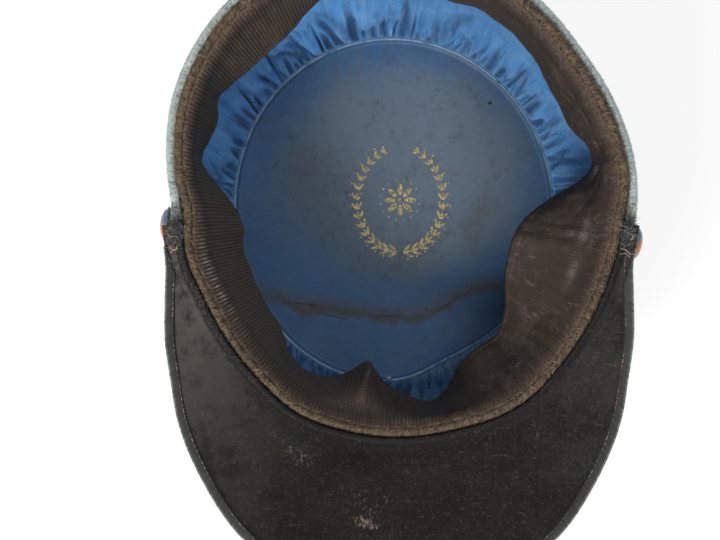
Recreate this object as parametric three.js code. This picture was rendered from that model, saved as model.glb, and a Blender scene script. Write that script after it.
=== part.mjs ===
// A kepi cap of grey-blue wool with a leather visor, lying on its crown with the opening up.
// Millimetres, +Z up. The origin is the centre of the crown's flat outer face, and the visor points to -Y.
// A bearing is an angle in degrees seen from above the opening: 0 at the cap's back (+Y), 90 at +X,
// 180 at the front. A turn is the angle from the front to either side. Each wall is a closed loop of
// points in the upright plane of a bearing, carried round the cap.
import * as THREE from 'three';

// Outline of the cap
const crownHalfWidth = 73;
const crownHalfLength = 78;
const rimHalfWidth = 89;
const rimBackReach = 98;
const rimFrontReach = 94.5;
const frontHeight = 80;
const backHeight = 110;

// Walls, and the clearance between pieces that are sewn together
const seamGap = 0.3;
const crownTopWall = 2.8;
const crownEdgeRound = 1.2;
const crownSideWall = 2.5;
const bandWall = 3.2;
const bandHeight = 32;
const rimRound = 1.2;
const satinWall = 0.9;
const leatherWall = 1.3;

// Sweatband
const sweatbandWidth = 40;
const beadDiameter = 3;
const beadRise = 0.4;

// Satin lining
const liningSeamRoom = 3;
const liningTopWall = 1;
const rolledSeamWidth = 1.6;
const rolledSeamHeight = 1.5;
const liningTuckDepth = 12;
const liningFolds = 40;
const foldDepth = 3.2;
const puffDepth = 3;

// Visor and its binding
const visorDepth = 55;
const visorWall = 2.2;
const visorSlope = 20;
const visorCornerAngle = 85;
const visorFadeAngle = 12;
const visorEdge = 1.2;
const visorLipWidth = 2.8;
const visorLipRise = 0.6;
const flangeWall = 1.4;
const flangeDepth = 8;
const flangeRoom = 0.5;
const bindingWidth = 3.4;
const bindingWall = 0.7;
const bindingRoom = 0.4;
const bindingCornerAngle = 80;

// Sections round each ring, and the angle between the sections across the front
const crownFacets = 80;
const wallFacets = 72;
const sweatbandFacets = 100;
const discFacets = 88;
const facetsPerFold = 3;
const buttonFacets = 18;
const frontStepAngle = 5;

// Side buttons
const buttonDiameter = 14.5;
const buttonDome = 2.9;
const buttonRim = 0.9;
const shankDiameter = 4.4;
const shankLength = 1.2;
const buttonDrop = 9;
const leftButtonBearing = 265;
const rightButtonBearing = 99;

// The rim's radius as a share of its plain oval: the soft cap leans to the left at the back.
const rimShape = [
  { bearing: 0, share: 1.0 },
  { bearing: 38, share: 0.975 },
  { bearing: 50, share: 0.972 },
  { bearing: 62, share: 0.99 },
  { bearing: 82, share: 1.018 },
  { bearing: 104, share: 1.008 },
  { bearing: 117, share: 1.003 },
  { bearing: 134, share: 1.009 },
  { bearing: 149, share: 1.025 },
  { bearing: 166, share: 1.004 },
  { bearing: 192, share: 1.005 },
  { bearing: 206, share: 1.012 },
  { bearing: 222, share: 0.986 },
  { bearing: 244, share: 0.978 },
  { bearing: 257, share: 0.996 },
  { bearing: 270, share: 0.976 },
  { bearing: 280, share: 1.006 },
  { bearing: 295, share: 1.048 },
  { bearing: 310, share: 1.062 },
  { bearing: 321, share: 1.06 },
  { bearing: 342, share: 1.03 },
];

// How far the wall has widened from the crown to the rim, at a share of the height.
const wallSpread = [
  { height: 0, share: 0 },
  { height: 0.12, share: 0.2 },
  { height: 0.3, share: 0.5 },
  { height: 0.5, share: 0.78 },
  { height: 0.75, share: 0.95 },
  { height: 1, share: 1 },
];

// The lining's top disc as a share of the crown's oval inside the wall.
const discShape = [
  { bearing: 0, share: 1.0 },
  { bearing: 60, share: 1.01 },
  { bearing: 100, share: 1.01 },
  { bearing: 136, share: 0.95 },
  { bearing: 160, share: 0.93 },
  { bearing: 180, share: 1.0 },
  { bearing: 205, share: 1.02 },
  { bearing: 237, share: 1.0 },
  { bearing: 278, share: 0.99 },
  { bearing: 308, share: 1.02 },
  { bearing: 330, share: 1.02 },
];

// How far the sweatband leans in at its free edge, as a share of its width: a row for each fold or dip.
const sweatbandLean = [
  { bearing: 0, lean: 0.2 },
  { bearing: 25, lean: 0.14 },
  { bearing: 42, lean: 0.14 },
  { bearing: 54, lean: 0.19 },
  { bearing: 65, lean: 0.23 },
  { bearing: 74, lean: 0.13 },
  { bearing: 80, lean: 0.22 },
  { bearing: 86, lean: 0.57 },
  { bearing: 94, lean: 0.78 },
  { bearing: 105, lean: 0.88 },
  { bearing: 114, lean: 0.86 },
  { bearing: 124, lean: 0.79 },
  { bearing: 133, lean: 0.63 },
  { bearing: 140, lean: 0.54 },
  { bearing: 150, lean: 0.57 },
  { bearing: 158, lean: 0.48 },
  { bearing: 165, lean: 0.25 },
  { bearing: 171, lean: 0.19 },
  { bearing: 177, lean: 0.27 },
  { bearing: 184, lean: 0.42 },
  { bearing: 191, lean: 0.59 },
  { bearing: 198, lean: 0.42 },
  { bearing: 206, lean: 0.29 },
  { bearing: 215, lean: 0.27 },
  { bearing: 225, lean: 0.38 },
  { bearing: 248, lean: 0.41 },
  { bearing: 260, lean: 0.45 },
  { bearing: 271, lean: 0.37 },
  { bearing: 279, lean: 0.22 },
  { bearing: 284, lean: 0.13 },
  { bearing: 296, lean: 0.24 },
  { bearing: 302, lean: 0.2 },
  { bearing: 312, lean: 0.33 },
  { bearing: 323, lean: 0.37 },
  { bearing: 333, lean: 0.28 },
  { bearing: 341, lean: 0.17 },
];

// The visor's reach past the rim's plain oval, as a share of its depth at the front.
const visorOutline = [
  { turn: 0, share: 1 },
  { turn: 12, share: 0.965 },
  { turn: 25, share: 0.833 },
  { turn: 35.5, share: 0.647 },
  { turn: 45.7, share: 0.464 },
  { turn: 52.4, share: 0.333 },
  { turn: 60, share: 0.222 },
  { turn: 68, share: 0.111 },
  { turn: 76.6, share: 0.035 },
  { turn: 90, share: 0.03 },
];

// The gathered lining from the top of its seam at the disc to its hidden upper edge: how far it has risen,
// how far it has left the seam for the wall, and the shares of the full puff and fold depth there.
const liningCourse = [
  { rise: 0, toWall: 0, puff: 0, fold: 0 },
  { rise: 0.06, toWall: 0.3, puff: 0.5, fold: 0.75 },
  { rise: 0.2, toWall: 0.8, puff: 1, fold: 1 },
  { rise: 0.5, toWall: 1, puff: 0.2, fold: 0.25 },
  { rise: 1, toWall: 1, puff: 0, fold: 0.1 },
];

const toRadians = THREE.MathUtils.degToRad;

// A smooth curve through a table's rows. With a period, the table closes on itself.
function readTable(rows, along, column, at, period = 0) {
  const count = rows.length;
  const place = period ? THREE.MathUtils.euclideanModulo(at, period) : at;
  const row = (i) => {
    if (!period) {
      return rows[THREE.MathUtils.clamp(i, 0, count - 1)];
    }
    return rows[THREE.MathUtils.euclideanModulo(i, count)];
  };
  const key = (i) => row(i)[along] + (period ? period * Math.floor(i / count) : 0);
  const slope = (i) => {
    const width = key(i + 1) - key(i - 1);
    return width > 0 ? (row(i + 1)[column] - row(i - 1)[column]) / width : 0;
  };
  let i = 0;
  while (i < count - (period ? 1 : 2) && key(i + 1) <= place) {
    i += 1;
  }
  const width = key(i + 1) - key(i);
  const t = THREE.MathUtils.clamp((place - key(i)) / width, 0, 1);
  const from = row(i)[column];
  const to = row(i + 1)[column];
  const hermite = 2 * t ** 3 - 3 * t ** 2 + 1;
  return (
    hermite * from +
    (1 - hermite) * to +
    (t ** 3 - 2 * t ** 2 + t) * width * slope(i) +
    (t ** 3 - t ** 2) * width * slope(i + 1)
  );
}

// The radius of an oval with its own half width and its own reach to the back and to the front.
function oval(bearing, halfWidth, back, front) {
  const across = Math.sin(toRadians(bearing));
  const along = Math.cos(toRadians(bearing));
  const reach = along >= 0 ? back : front;
  return (halfWidth * reach) / Math.hypot(reach * across, halfWidth * along);
}

const turnFromFront = (bearing) => Math.abs(180 - THREE.MathUtils.euclideanModulo(bearing, 360));
const crownRadius = (bearing) => oval(bearing, crownHalfWidth, crownHalfLength, crownHalfLength);
const rimOval = (bearing) => oval(bearing, rimHalfWidth, rimBackReach, rimFrontReach);
const rimRadius = (bearing) => rimOval(bearing) * readTable(rimShape, 'bearing', 'share', bearing, 360);

// The rim lies in one plane that rises from the front to the back.
function rimHeight(bearing) {
  const forward = rimRadius(bearing) * Math.cos(toRadians(bearing)) + rimFrontReach;
  return frontHeight + ((backHeight - frontHeight) * forward) / (rimFrontReach + rimBackReach);
}

// The outer face of the cloth at a height above the crown.
function wallRadius(bearing, height) {
  const spread = readTable(wallSpread, 'height', 'share', height / rimHeight(bearing));
  return crownRadius(bearing) + (rimRadius(bearing) - crownRadius(bearing)) * spread;
}

// How far inside the rim's outer line the sweatband's bead starts. The visor's flange pushes it in.
function beadInset(bearing) {
  const past = (visorCornerAngle + visorFadeAngle - turnFromFront(bearing)) / visorFadeAngle;
  const flangeShare = THREE.MathUtils.smoothstep(past, 0, 1);
  return bandWall + seamGap + flangeShare * (flangeWall + flangeRoom);
}

function discRadius(bearing) {
  const inside = crownRadius(bearing) - crownSideWall - liningSeamRoom;
  return inside * readTable(discShape, 'bearing', 'share', bearing, 360);
}

function visorRadius(bearing) {
  const reach = visorDepth * readTable(visorOutline, 'turn', 'share', turnFromFront(bearing));
  return Math.max(rimOval(bearing) + reach, rimRadius(bearing) + visorEdge);
}

const ringBearings = (count) => Array.from({ length: count }, (_, i) => (360 * i) / count);

// Bearings across the front, from one corner to the other.
function arcBearings(turn, step) {
  const steps = Math.round((2 * turn) / step);
  return Array.from({ length: steps + 1 }, (_, i) => 180 - turn + (2 * turn * i) / steps);
}

const atBearing = (bearing, [radius, height]) => [
  radius * Math.sin(toRadians(bearing)),
  radius * Math.cos(toRadians(bearing)),
  height,
];

// Triangles that fill a loop of [radius, height] points and turn the same way as the loop.
function endFace(loop) {
  const outline = loop.map(([radius, height]) => new THREE.Vector2(radius, height));
  const corners = THREE.ShapeUtils.triangulateShape(outline, []).flat();
  return THREE.ShapeUtils.isClockWise(outline) ? corners.reverse() : corners;
}

// Joins equal loops of [radius, height] points, one for each bearing, into one closed body: either all
// the way round, or with a flat end at the first and the last loop.
function carryRound(bearings, loopAt, closesOnItself) {
  const loops = bearings.map((bearing) => loopAt(bearing));
  const size = loops[0].length;
  const positions = loops.flatMap((loop, i) => loop.flatMap((point) => atBearing(bearings[i], point)));
  const indices = [];
  const spans = closesOnItself ? loops.length : loops.length - 1;
  for (let i = 0; i < spans; i += 1) {
    const here = i * size;
    const next = ((i + 1) % loops.length) * size;
    for (let j = 0; j < size; j += 1) {
      const k = (j + 1) % size;
      indices.push(here + j, next + j, next + k);
      indices.push(here + j, next + k, here + k);
    }
  }
  if (!closesOnItself) {
    const last = (loops.length - 1) * size;
    indices.push(...endFace(loops[0]));
    indices.push(...endFace(loops.at(-1)).map((corner) => last + corner).reverse());
  }
  return facingOut(positions, indices);
}

// A flat-bottomed round body from the middle of its lower face, through rings, to the middle of its
// upper face. Each ring gives [radius, height] at a bearing.
function stackRings(bearings, rings, lowerMiddle, upperMiddle) {
  const count = bearings.length;
  const placeRing = (ring) => bearings.flatMap((bearing) => atBearing(bearing, ring(bearing)));
  const positions = rings.flatMap(placeRing);
  const lower = positions.length / 3;
  const upper = lower + 1;
  positions.push(0, 0, lowerMiddle, 0, 0, upperMiddle);
  const indices = [];
  const top = (rings.length - 1) * count;
  for (let i = 0; i < count; i += 1) {
    const next = (i + 1) % count;
    indices.push(lower, i, next);
    for (let j = 0; j < rings.length - 1; j += 1) {
      const here = j * count;
      const above = here + count;
      indices.push(here + i, above + i, above + next);
      indices.push(here + i, above + next, here + next);
    }
    indices.push(upper, top + next, top + i);
  }
  return facingOut(positions, indices);
}

// A geometry whose triangles all face away from the solid.
function facingOut(positions, indices) {
  const corner = (i) => new THREE.Vector3().fromArray(positions, 3 * i);
  let volume = 0;
  for (let i = 0; i < indices.length; i += 3) {
    const [a, b, c] = [corner(indices[i]), corner(indices[i + 1]), corner(indices[i + 2])];
    volume += a.dot(b.cross(c)) / 6;
  }
  if (volume < 0) {
    indices.reverse();
  }
  const geometry = new THREE.BufferGeometry();
  geometry.setAttribute('position', new THREE.Float32BufferAttribute(positions, 3));
  geometry.setIndex(indices);
  geometry.computeVertexNormals();
  return geometry;
}

// The flat cloth top, with a rounded edge where it is sewn to the side.
function crownTop() {
  const rings = [
    (bearing) => [crownRadius(bearing) - crownEdgeRound, 0],
    (bearing) => [crownRadius(bearing), crownEdgeRound],
    (bearing) => [crownRadius(bearing), crownTopWall],
  ];
  return stackRings(ringBearings(crownFacets), rings, 0, crownTopWall);
}

// The cloth side, from the crown's edge up to the band.
function crownSide() {
  const shares = [0, 0.2, 0.45, 0.7, 1];
  const loopAt = (bearing) => {
    const low = crownTopWall + seamGap;
    const high = rimHeight(bearing) - bandHeight - seamGap;
    const heights = shares.map((share) => low + (high - low) * share);
    const outer = heights.map((height) => [wallRadius(bearing, height), height]);
    const inner = heights.map((height) => [wallRadius(bearing, height) - crownSideWall, height]);
    return [...outer, ...inner.reverse()];
  };
  return carryRound(ringBearings(wallFacets), loopAt, true);
}

// The cloth band round the head, with a rounded edge at the rim.
function band() {
  const shoulderIn = 0.4 * rimRound;
  const shoulderDrop = 0.3 * rimRound;
  const loopAt = (bearing) => {
    const rim = rimHeight(bearing);
    const low = rim - bandHeight;
    const middle = rim - bandHeight / 2;
    const radius = (height) => wallRadius(bearing, height);
    return [
      [radius(low), low],
      [radius(middle), middle],
      [radius(rim), rim - rimRound],
      [radius(rim) - shoulderIn, rim - shoulderDrop],
      [radius(rim) - bandWall / 2, rim],
      [radius(rim) - bandWall + shoulderIn, rim - shoulderDrop],
      [radius(rim) - bandWall, rim - rimRound],
      [radius(middle) - bandWall, middle],
      [radius(low) - bandWall, low],
    ];
  };
  return carryRound(ringBearings(wallFacets), loopAt, true);
}

// The leather sweatband: a bead sewn along the rim, and a strip that leans in from it to a wavy edge.
// The strip keeps its width, so where it leans far in it hangs less far down.
function sweatband() {
  const beadPoints = 6;
  const beadStart = -52;
  const beadSweep = 284;
  const steps = 5;
  const steepest = 0.97;
  const leanStart = 0.85;
  const leanGrowth = 0.3;
  const loopAt = (bearing) => {
    const bead = beadDiameter / 2;
    const middle = rimRadius(bearing) - beadInset(bearing) - bead;
    const height = rimHeight(bearing) + beadRise;
    const lean = readTable(sweatbandLean, 'bearing', 'lean', bearing, 360);
    const strip = [[middle, height]];
    const step = sweatbandWidth / steps;
    for (let i = 0; i < steps; i += 1) {
      const [radius, level] = strip[i];
      const inward = Math.min(lean * (leanStart + (leanGrowth * (i + 0.5)) / steps), steepest);
      strip.push([radius - step * inward, level - step * Math.sqrt(1 - inward ** 2)]);
    }
    const face = (i, side) => {
      const [fromRadius, fromLevel] = strip[Math.max(i - 1, 0)];
      const [toRadius, toLevel] = strip[Math.min(i + 1, steps)];
      const length = Math.hypot(toRadius - fromRadius, toLevel - fromLevel);
      const shift = (side * leatherWall) / 2 / length;
      const [radius, level] = strip[i];
      return [radius + (fromLevel - toLevel) * shift, level + (toRadius - fromRadius) * shift];
    };
    const stripSteps = Array.from({ length: steps }, (_, i) => i + 1);
    const outer = stripSteps.map((i) => face(i, 1));
    const inner = stripSteps.map((i) => face(i, -1));
    const beadAngle = (i) => toRadians(beadStart + (beadSweep * i) / (beadPoints - 1));
    const beadPoint = (angle) => [middle + bead * Math.cos(angle), height + bead * Math.sin(angle)];
    const round = Array.from({ length: beadPoints }, (_, i) => beadPoint(beadAngle(i)));
    return [...round, ...inner, ...outer.reverse()];
  };
  return carryRound(ringBearings(sweatbandFacets), loopAt, true);
}

// The satin side of the lining, gathered at the disc's seam and tucked up behind the sweatband.
function liningSide() {
  const unevenShare = 0.2;
  const unevenWaves = 5;
  const unevenStart = 40;
  const loopAt = (bearing) => {
    const seam = discRadius(bearing) + seamGap + satinWall;
    const low = crownTopWall + seamGap + liningTopWall + rolledSeamHeight + seamGap;
    const high = rimHeight(bearing) - liningTuckDepth;
    const foldShare = (1 + Math.cos(toRadians(liningFolds * bearing))) / 2;
    const uneven = 1 - unevenShare + unevenShare * Math.sin(toRadians(unevenWaves * bearing + unevenStart));
    const sewnEdge = crownTopWall + seamGap;
    const outer = [[seam, sewnEdge]];
    const inner = [[seam - satinWall, sewnEdge]];
    for (const { rise, toWall, puff, fold } of liningCourse) {
      const height = low + (high - low) * rise;
      const wall = wallRadius(bearing, height) - Math.max(bandWall, crownSideWall) - seamGap;
      const slack = puffDepth * puff + foldDepth * foldShare * uneven * fold;
      const radius = seam + (wall - seam) * toWall - slack;
      outer.push([radius, height]);
      inner.push([radius - satinWall, height]);
    }
    return [...outer, ...inner.reverse()];
  };
  return carryRound(ringBearings(liningFolds * facetsPerFold), loopAt, true);
}

// The satin disc inside the crown, with a rolled seam round its edge.
function liningTop() {
  const low = crownTopWall + seamGap;
  const high = low + liningTopWall;
  const rings = [
    (bearing) => [discRadius(bearing), low],
    (bearing) => [discRadius(bearing), high + rolledSeamHeight / 2],
    (bearing) => [discRadius(bearing) - rolledSeamWidth / 2, high + rolledSeamHeight],
    (bearing) => [discRadius(bearing) - rolledSeamWidth, high],
  ];
  return stackRings(ringBearings(discFacets), rings, low, high);
}

// The height of the visor's lower face above the rim, at a distance outside the rim's outer line.
const visorRise = (distance) => seamGap + Math.max(distance, 0) * Math.tan(toRadians(visorSlope));

// The leather visor: a flange turned down between band and sweatband, a raised lip, and the plate.
function visor() {
  const lipShare = 0.3;
  const middleShare = 0.4;
  const loopAt = (bearing) => {
    const rim = rimRadius(bearing);
    const base = rimHeight(bearing);
    const edge = visorRadius(bearing);
    const under = (radius) => [radius, base + visorRise(radius - rim)];
    const over = (radius) => [radius, base + visorRise(radius - rim) + visorWall];
    const flangeOut = rim - bandWall - seamGap;
    const flangeIn = flangeOut - flangeWall;
    const flangeEnd = wallRadius(bearing, base - flangeDepth) - bandWall - seamGap;
    const part = (share) => rim + (edge - rim) * share;
    return [
      [flangeEnd - flangeWall, base - flangeDepth],
      [flangeIn, base + visorWall],
      [flangeIn + visorLipWidth * lipShare, base + seamGap + visorWall + visorLipRise],
      over(flangeIn + visorLipWidth),
      over(part(middleShare)),
      over(edge),
      under(edge),
      under(part(middleShare)),
      under(rim - rimRound),
      [flangeOut, base + seamGap],
      [flangeEnd, base - flangeDepth],
    ];
  };
  return carryRound(arcBearings(visorCornerAngle, frontStepAngle), loopAt, false);
}

// The thin leather binding, folded over the visor's edge from the upper face to the lower one. Its
// lower leg stops short of the band. A leg's width is taken square to the visor's outline.
function visorBinding() {
  const cornerRound = 0.6 * bindingWall;
  const loopAt = (bearing) => {
    const rim = rimRadius(bearing);
    const base = rimHeight(bearing);
    const edge = visorRadius(bearing);
    const change = (visorRadius(bearing + 1) - visorRadius(bearing - 1)) / toRadians(2);
    const slant = Math.hypot(1, change / edge);
    const legEnd = Math.max(edge - bindingWidth * slant, rim + seamGap);
    const inside = edge + bindingRoom * slant;
    const outside = inside + bindingWall * slant;
    const under = (radius, drop) => [radius, base + visorRise(radius - rim) - drop];
    const over = (radius, lift) => [radius, base + visorRise(radius - rim) + visorWall + lift];
    return [
      over(legEnd, bindingRoom + bindingWall),
      over(inside, bindingRoom + bindingWall),
      over(outside, bindingRoom + bindingWall - cornerRound),
      under(outside, bindingRoom + bindingWall - cornerRound),
      under(inside, bindingRoom + bindingWall),
      under(legEnd, bindingRoom + bindingWall),
      under(legEnd, bindingRoom),
      under(inside, bindingRoom),
      over(inside, bindingRoom),
      over(legEnd, bindingRoom),
    ];
  };
  return carryRound(arcBearings(bindingCornerAngle, frontStepAngle), loopAt, false);
}

// A domed button on a short shank. Its foot is at the origin and it faces along +Y.
function button() {
  const radius = buttonDiameter / 2;
  const domeSteps = 3;
  const profile = [
    [0, 0],
    [shankDiameter / 2, 0],
    [shankDiameter / 2, shankLength],
    [radius, shankLength],
  ];
  for (let i = 0; i <= domeSteps; i += 1) {
    const angle = ((Math.PI / 2) * i) / domeSteps;
    const across = i < domeSteps ? radius * Math.cos(angle) : 0;
    profile.push([across, shankLength + buttonRim + buttonDome * Math.sin(angle)]);
  }
  return new THREE.LatheGeometry(
    profile.map(([x, y]) => new THREE.Vector2(x, y)),
    buttonFacets,
  );
}

const wool = new THREE.MeshStandardMaterial({ color: 0x9fb0b4, roughness: 0.95, metalness: 0 });
const leather = new THREE.MeshStandardMaterial({ color: 0x3a332e, roughness: 0.6, metalness: 0 });
const visorLeather = new THREE.MeshStandardMaterial({ color: 0x2f2c2a, roughness: 0.55, metalness: 0 });
const satin = new THREE.MeshStandardMaterial({ color: 0x2f5f96, roughness: 0.45, metalness: 0 });
const buttonMetal = new THREE.MeshStandardMaterial({ color: 0x6d7a86, roughness: 0.5, metalness: 0.6 });

const cap = new THREE.Group();

function addPiece(name, geometry, material) {
  const piece = new THREE.Mesh(geometry, material.clone());
  piece.name = name;
  cap.add(piece);
  return piece;
}

// Stands a button's foot on the band's outer face, below the rim, square to the wall there.
function placeButton(name, bearing) {
  const height = rimHeight(bearing) - buttonDrop;
  const radius = wallRadius(bearing, height);
  const change = (wallRadius(bearing + 1, height) - wallRadius(bearing - 1, height)) / toRadians(2);
  const piece = addPiece(name, button(), buttonMetal);
  piece.position.set(...atBearing(bearing, [radius + seamGap, height]));
  piece.rotation.z = Math.atan2(change, radius) - toRadians(bearing);
}

addPiece('crown_top', crownTop(), wool);
addPiece('crown_side', crownSide(), wool);
addPiece('band', band(), wool);
addPiece('sweatband', sweatband(), leather);
addPiece('lining_side', liningSide(), satin);
addPiece('lining_top', liningTop(), satin);
addPiece('visor', visor(), visorLeather);
addPiece('visor_binding', visorBinding(), visorLeather);
placeButton('button_left', leftButtonBearing);
placeButton('button_right', rightButtonBearing);

export default cap;
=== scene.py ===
import math

import bpy
import numpy as np
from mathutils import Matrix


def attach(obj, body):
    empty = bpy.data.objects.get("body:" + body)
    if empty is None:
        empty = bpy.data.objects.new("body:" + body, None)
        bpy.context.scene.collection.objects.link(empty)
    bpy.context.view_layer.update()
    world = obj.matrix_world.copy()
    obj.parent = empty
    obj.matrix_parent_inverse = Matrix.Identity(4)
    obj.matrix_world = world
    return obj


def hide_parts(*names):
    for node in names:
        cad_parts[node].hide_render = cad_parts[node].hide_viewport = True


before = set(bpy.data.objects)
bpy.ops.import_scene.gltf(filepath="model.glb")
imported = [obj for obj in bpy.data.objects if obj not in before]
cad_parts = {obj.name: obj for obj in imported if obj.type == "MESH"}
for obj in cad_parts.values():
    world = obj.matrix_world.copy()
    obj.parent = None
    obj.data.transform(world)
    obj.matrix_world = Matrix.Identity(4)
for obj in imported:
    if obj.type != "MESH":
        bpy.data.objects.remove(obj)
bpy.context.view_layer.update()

MM = 0.001

# The view, the table and the light.
# The cap lies upside down on a pale table, and the camera looks straight down into it from 0.8 m.
# A soft sheet overhead, a slightly warmer lamp at the front left, the table's glow and the air light it.
camera_place = (-15.0 * MM, -24.8 * MM, 0.8)
camera_sensor = 36.0
camera_lens = 92.7
table_half = 2.5
table_glow = 0.78
air_glow = 0.38
cap_middle = (0.0, 0.0, 0.08)
white = (1.0, 1.0, 1.0)

camera_data = bpy.data.cameras.new("view_from_above")
camera_data.sensor_width = camera_sensor
camera_data.lens = camera_lens
camera = bpy.data.objects.new("view_from_above", camera_data)
camera.location = camera_place
camera.rotation_euler = (0.0, 0.0, 0.0)
bpy.context.scene.collection.objects.link(camera)
bpy.context.scene.camera = camera


def new_material(name, roughness, settings=None):
    """A material with its node tree and its shader, whose other plain settings go by their sockets."""
    material = bpy.data.materials.new(name)
    material.use_nodes = True
    tree = material.node_tree
    shader = tree.nodes["Principled BSDF"]
    shader.inputs["Roughness"].default_value = roughness
    for socket, value in (settings or {}).items():
        shader.inputs[socket].default_value = value
    return material, tree, shader


table_mesh = bpy.data.meshes.new("table_top")
table_corners = [(x * table_half, y * table_half, 0) for x, y in ((-1, -1), (1, -1), (1, 1), (-1, 1))]
table_mesh.from_pydata(table_corners, [], [(0, 1, 2, 3)])
table_top = bpy.data.objects.new("table_top", table_mesh)
bpy.context.scene.collection.objects.link(table_top)
paper_settings = {"Base Color": (0.22, 0.22, 0.22, 1), "Emission Color": (*white, 1)}
paper_settings["Emission Strength"] = table_glow
paper, tree, shader = new_material("white_paper", 0.9, paper_settings)
table_mesh.materials.append(paper)


def soft_lamp(name, place, aim, size, power, colour):
    """A square soft lamp that faces a point."""
    data = bpy.data.lights.new(name, "AREA")
    data.shape = "SQUARE"
    data.size = size
    data.energy = power
    data.color = colour
    lamp = bpy.data.objects.new(name, data)
    lamp.location = place
    way = np.array(aim, float) - np.array(place, float)
    flat_way = math.hypot(way[0], way[1])
    lamp.rotation_euler = (math.atan2(flat_way, -way[2]), 0.0, math.atan2(-way[0], way[1]))
    bpy.context.scene.collection.objects.link(lamp)


soft_lamp("overhead_sheet", (0.3, 0.25, 1.45), cap_middle, 0.9, 6.5, white)
soft_lamp("front_left_lamp", (-0.6, -1.0, 1.1), cap_middle, 0.5, 26.0, (1.0, 0.985, 0.96))
world = bpy.data.worlds.new("studio_air")
world.use_nodes = True
air = world.node_tree.nodes["Background"]
air.inputs["Color"].default_value = (*white, 1)
air.inputs["Strength"].default_value = air_glow
bpy.context.scene.world = world
bpy.context.scene.view_settings.view_transform = "Standard"

# The wool cloth of the crown and the band.
# Pale grey-blue milled wool, stiffened inside: a flat oval top, a side that widens from it, and a band
# 32 mm high, turned over at the rim and sewn through there. The seams are plain and pressed flat.
crown_half_width = 73.0 * MM
crown_half_length = 78.0 * MM
rim_half_width = 89.0 * MM
rim_back_reach = 98.0 * MM
rim_front_reach = 94.5 * MM
front_height = 80.0 * MM
back_height = 110.0 * MM
seam_gap = 0.3 * MM
crown_top_wall = 2.8 * MM
crown_side_wall = 2.5 * MM
band_wall = 3.2 * MM
band_height = 32.0 * MM
rim_crown = 1.3 * MM
rim_unevenness = 0.09 * MM
side_crown = 0.8 * MM

# Bearing in degrees round the cap, 0 at the back, 90 at the right and 180 at the front, and the
# rim's radius there as a share of its plain oval.
rim_shape = [
    (0, 1.0), (38, 0.975), (50, 0.972), (62, 0.99), (82, 1.018), (104, 1.008), (117, 1.003),
    (134, 1.009), (149, 1.025), (166, 1.004), (192, 1.005), (206, 1.012), (222, 0.986),
    (244, 0.978), (257, 0.996), (270, 0.976), (280, 1.006), (295, 1.048), (310, 1.062),
    (321, 1.06), (342, 1.03),
]
# Height as a share of the rim's height, and how far the wall has widened there.
wall_spread = [(0, 0), (0.12, 0.2), (0.3, 0.5), (0.5, 0.78), (0.75, 0.95), (1, 1)]


def follow(rows, at, period=None):
    """Values on a smooth curve through a table's rows, which may close on itself."""
    keys = np.array([row[0] for row in rows], float)
    values = np.array([row[1] for row in rows], float)
    at = np.asarray(at, float)
    if period:
        at = np.mod(at, period)
        keys = np.concatenate([keys - period, keys, keys + period])
        values = np.tile(values, 3)
    slopes = np.gradient(values, keys)
    slopes[1:-1] = (values[2:] - values[:-2]) / (keys[2:] - keys[:-2])
    if not period:
        slopes[0] = slopes[0] / 2
        slopes[-1] = slopes[-1] / 2
    i = np.clip(np.searchsorted(keys, at, side="right") - 1, 0, len(keys) - 2)
    width = keys[i + 1] - keys[i]
    t = np.clip((at - keys[i]) / width, 0, 1)
    ease = 2 * t**3 - 3 * t**2 + 1
    return (
        ease * values[i]
        + (1 - ease) * values[i + 1]
        + (t**3 - 2 * t**2 + t) * width * slopes[i]
        + (t**3 - t**2) * width * slopes[i + 1]
    )


def oval(bearing, half_width, back, front):
    across, along = np.sin(np.radians(bearing)), np.cos(np.radians(bearing))
    reach = np.where(along >= 0, back, front)
    return half_width * reach / np.hypot(reach * across, half_width * along)


def crown_radius(bearing):
    return oval(bearing, crown_half_width, crown_half_length, crown_half_length)


def rim_oval(bearing):
    return oval(bearing, rim_half_width, rim_back_reach, rim_front_reach)


def rim_radius(bearing):
    return rim_oval(bearing) * follow(rim_shape, bearing, 360)


def rim_height(bearing):
    forward = rim_radius(bearing) * np.cos(np.radians(bearing)) + rim_front_reach
    return front_height + (back_height - front_height) * forward / (rim_front_reach + rim_back_reach)


def wall_radius(bearing, height):
    spread = follow(wall_spread, height / rim_height(bearing))
    return crown_radius(bearing) + (rim_radius(bearing) - crown_radius(bearing)) * spread


def turn_from_front(bearing):
    return np.abs(180 - np.mod(bearing, 360))


def fade(value, start, end):
    """0 before start and 1 after end, smoothly between."""
    t = np.clip((np.asarray(value, float) - start) / (end - start), 0, 1)
    return t * t * (3 - 2 * t)


def soft_waves(seed, waves, slowest, quickest):
    """A soft uneven field over a ring: bearing in degrees and distance in metres, about -1 to 1."""
    steepest = 150
    rng = np.random.default_rng(seed)
    turns = rng.integers(slowest, quickest, waves)
    slopes = rng.uniform(-1, 1, waves) * steepest
    starts = rng.uniform(0, 2 * math.pi, waves)

    def field(bearing, distance):
        angle = np.radians(bearing)
        total = 0
        for turn, slope, start in zip(turns, slopes, starts):
            total = total + np.sin(turn * angle + slope * distance + start)
        return total / math.sqrt(waves)

    return field


def points_round(bearing, radius, height):
    """Points of an upright section at each bearing."""
    angle = np.radians(bearing)
    return np.stack([radius * np.sin(angle), radius * np.cos(angle), height + 0 * radius], axis=-1)


def pair(first, second):
    """Two arrays as the two columns of one, such as a radius and a height for each point."""
    return np.stack([first, second], axis=-1)


def link_points(name, points, edges=(), faces=()):
    """A new object of the given points, in the scene."""
    mesh = bpy.data.meshes.new(name)
    mesh.from_pydata([tuple(point) for point in points], list(edges), list(faces))
    piece = bpy.data.objects.new(name, mesh)
    bpy.context.scene.collection.objects.link(piece)
    return piece


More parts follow.
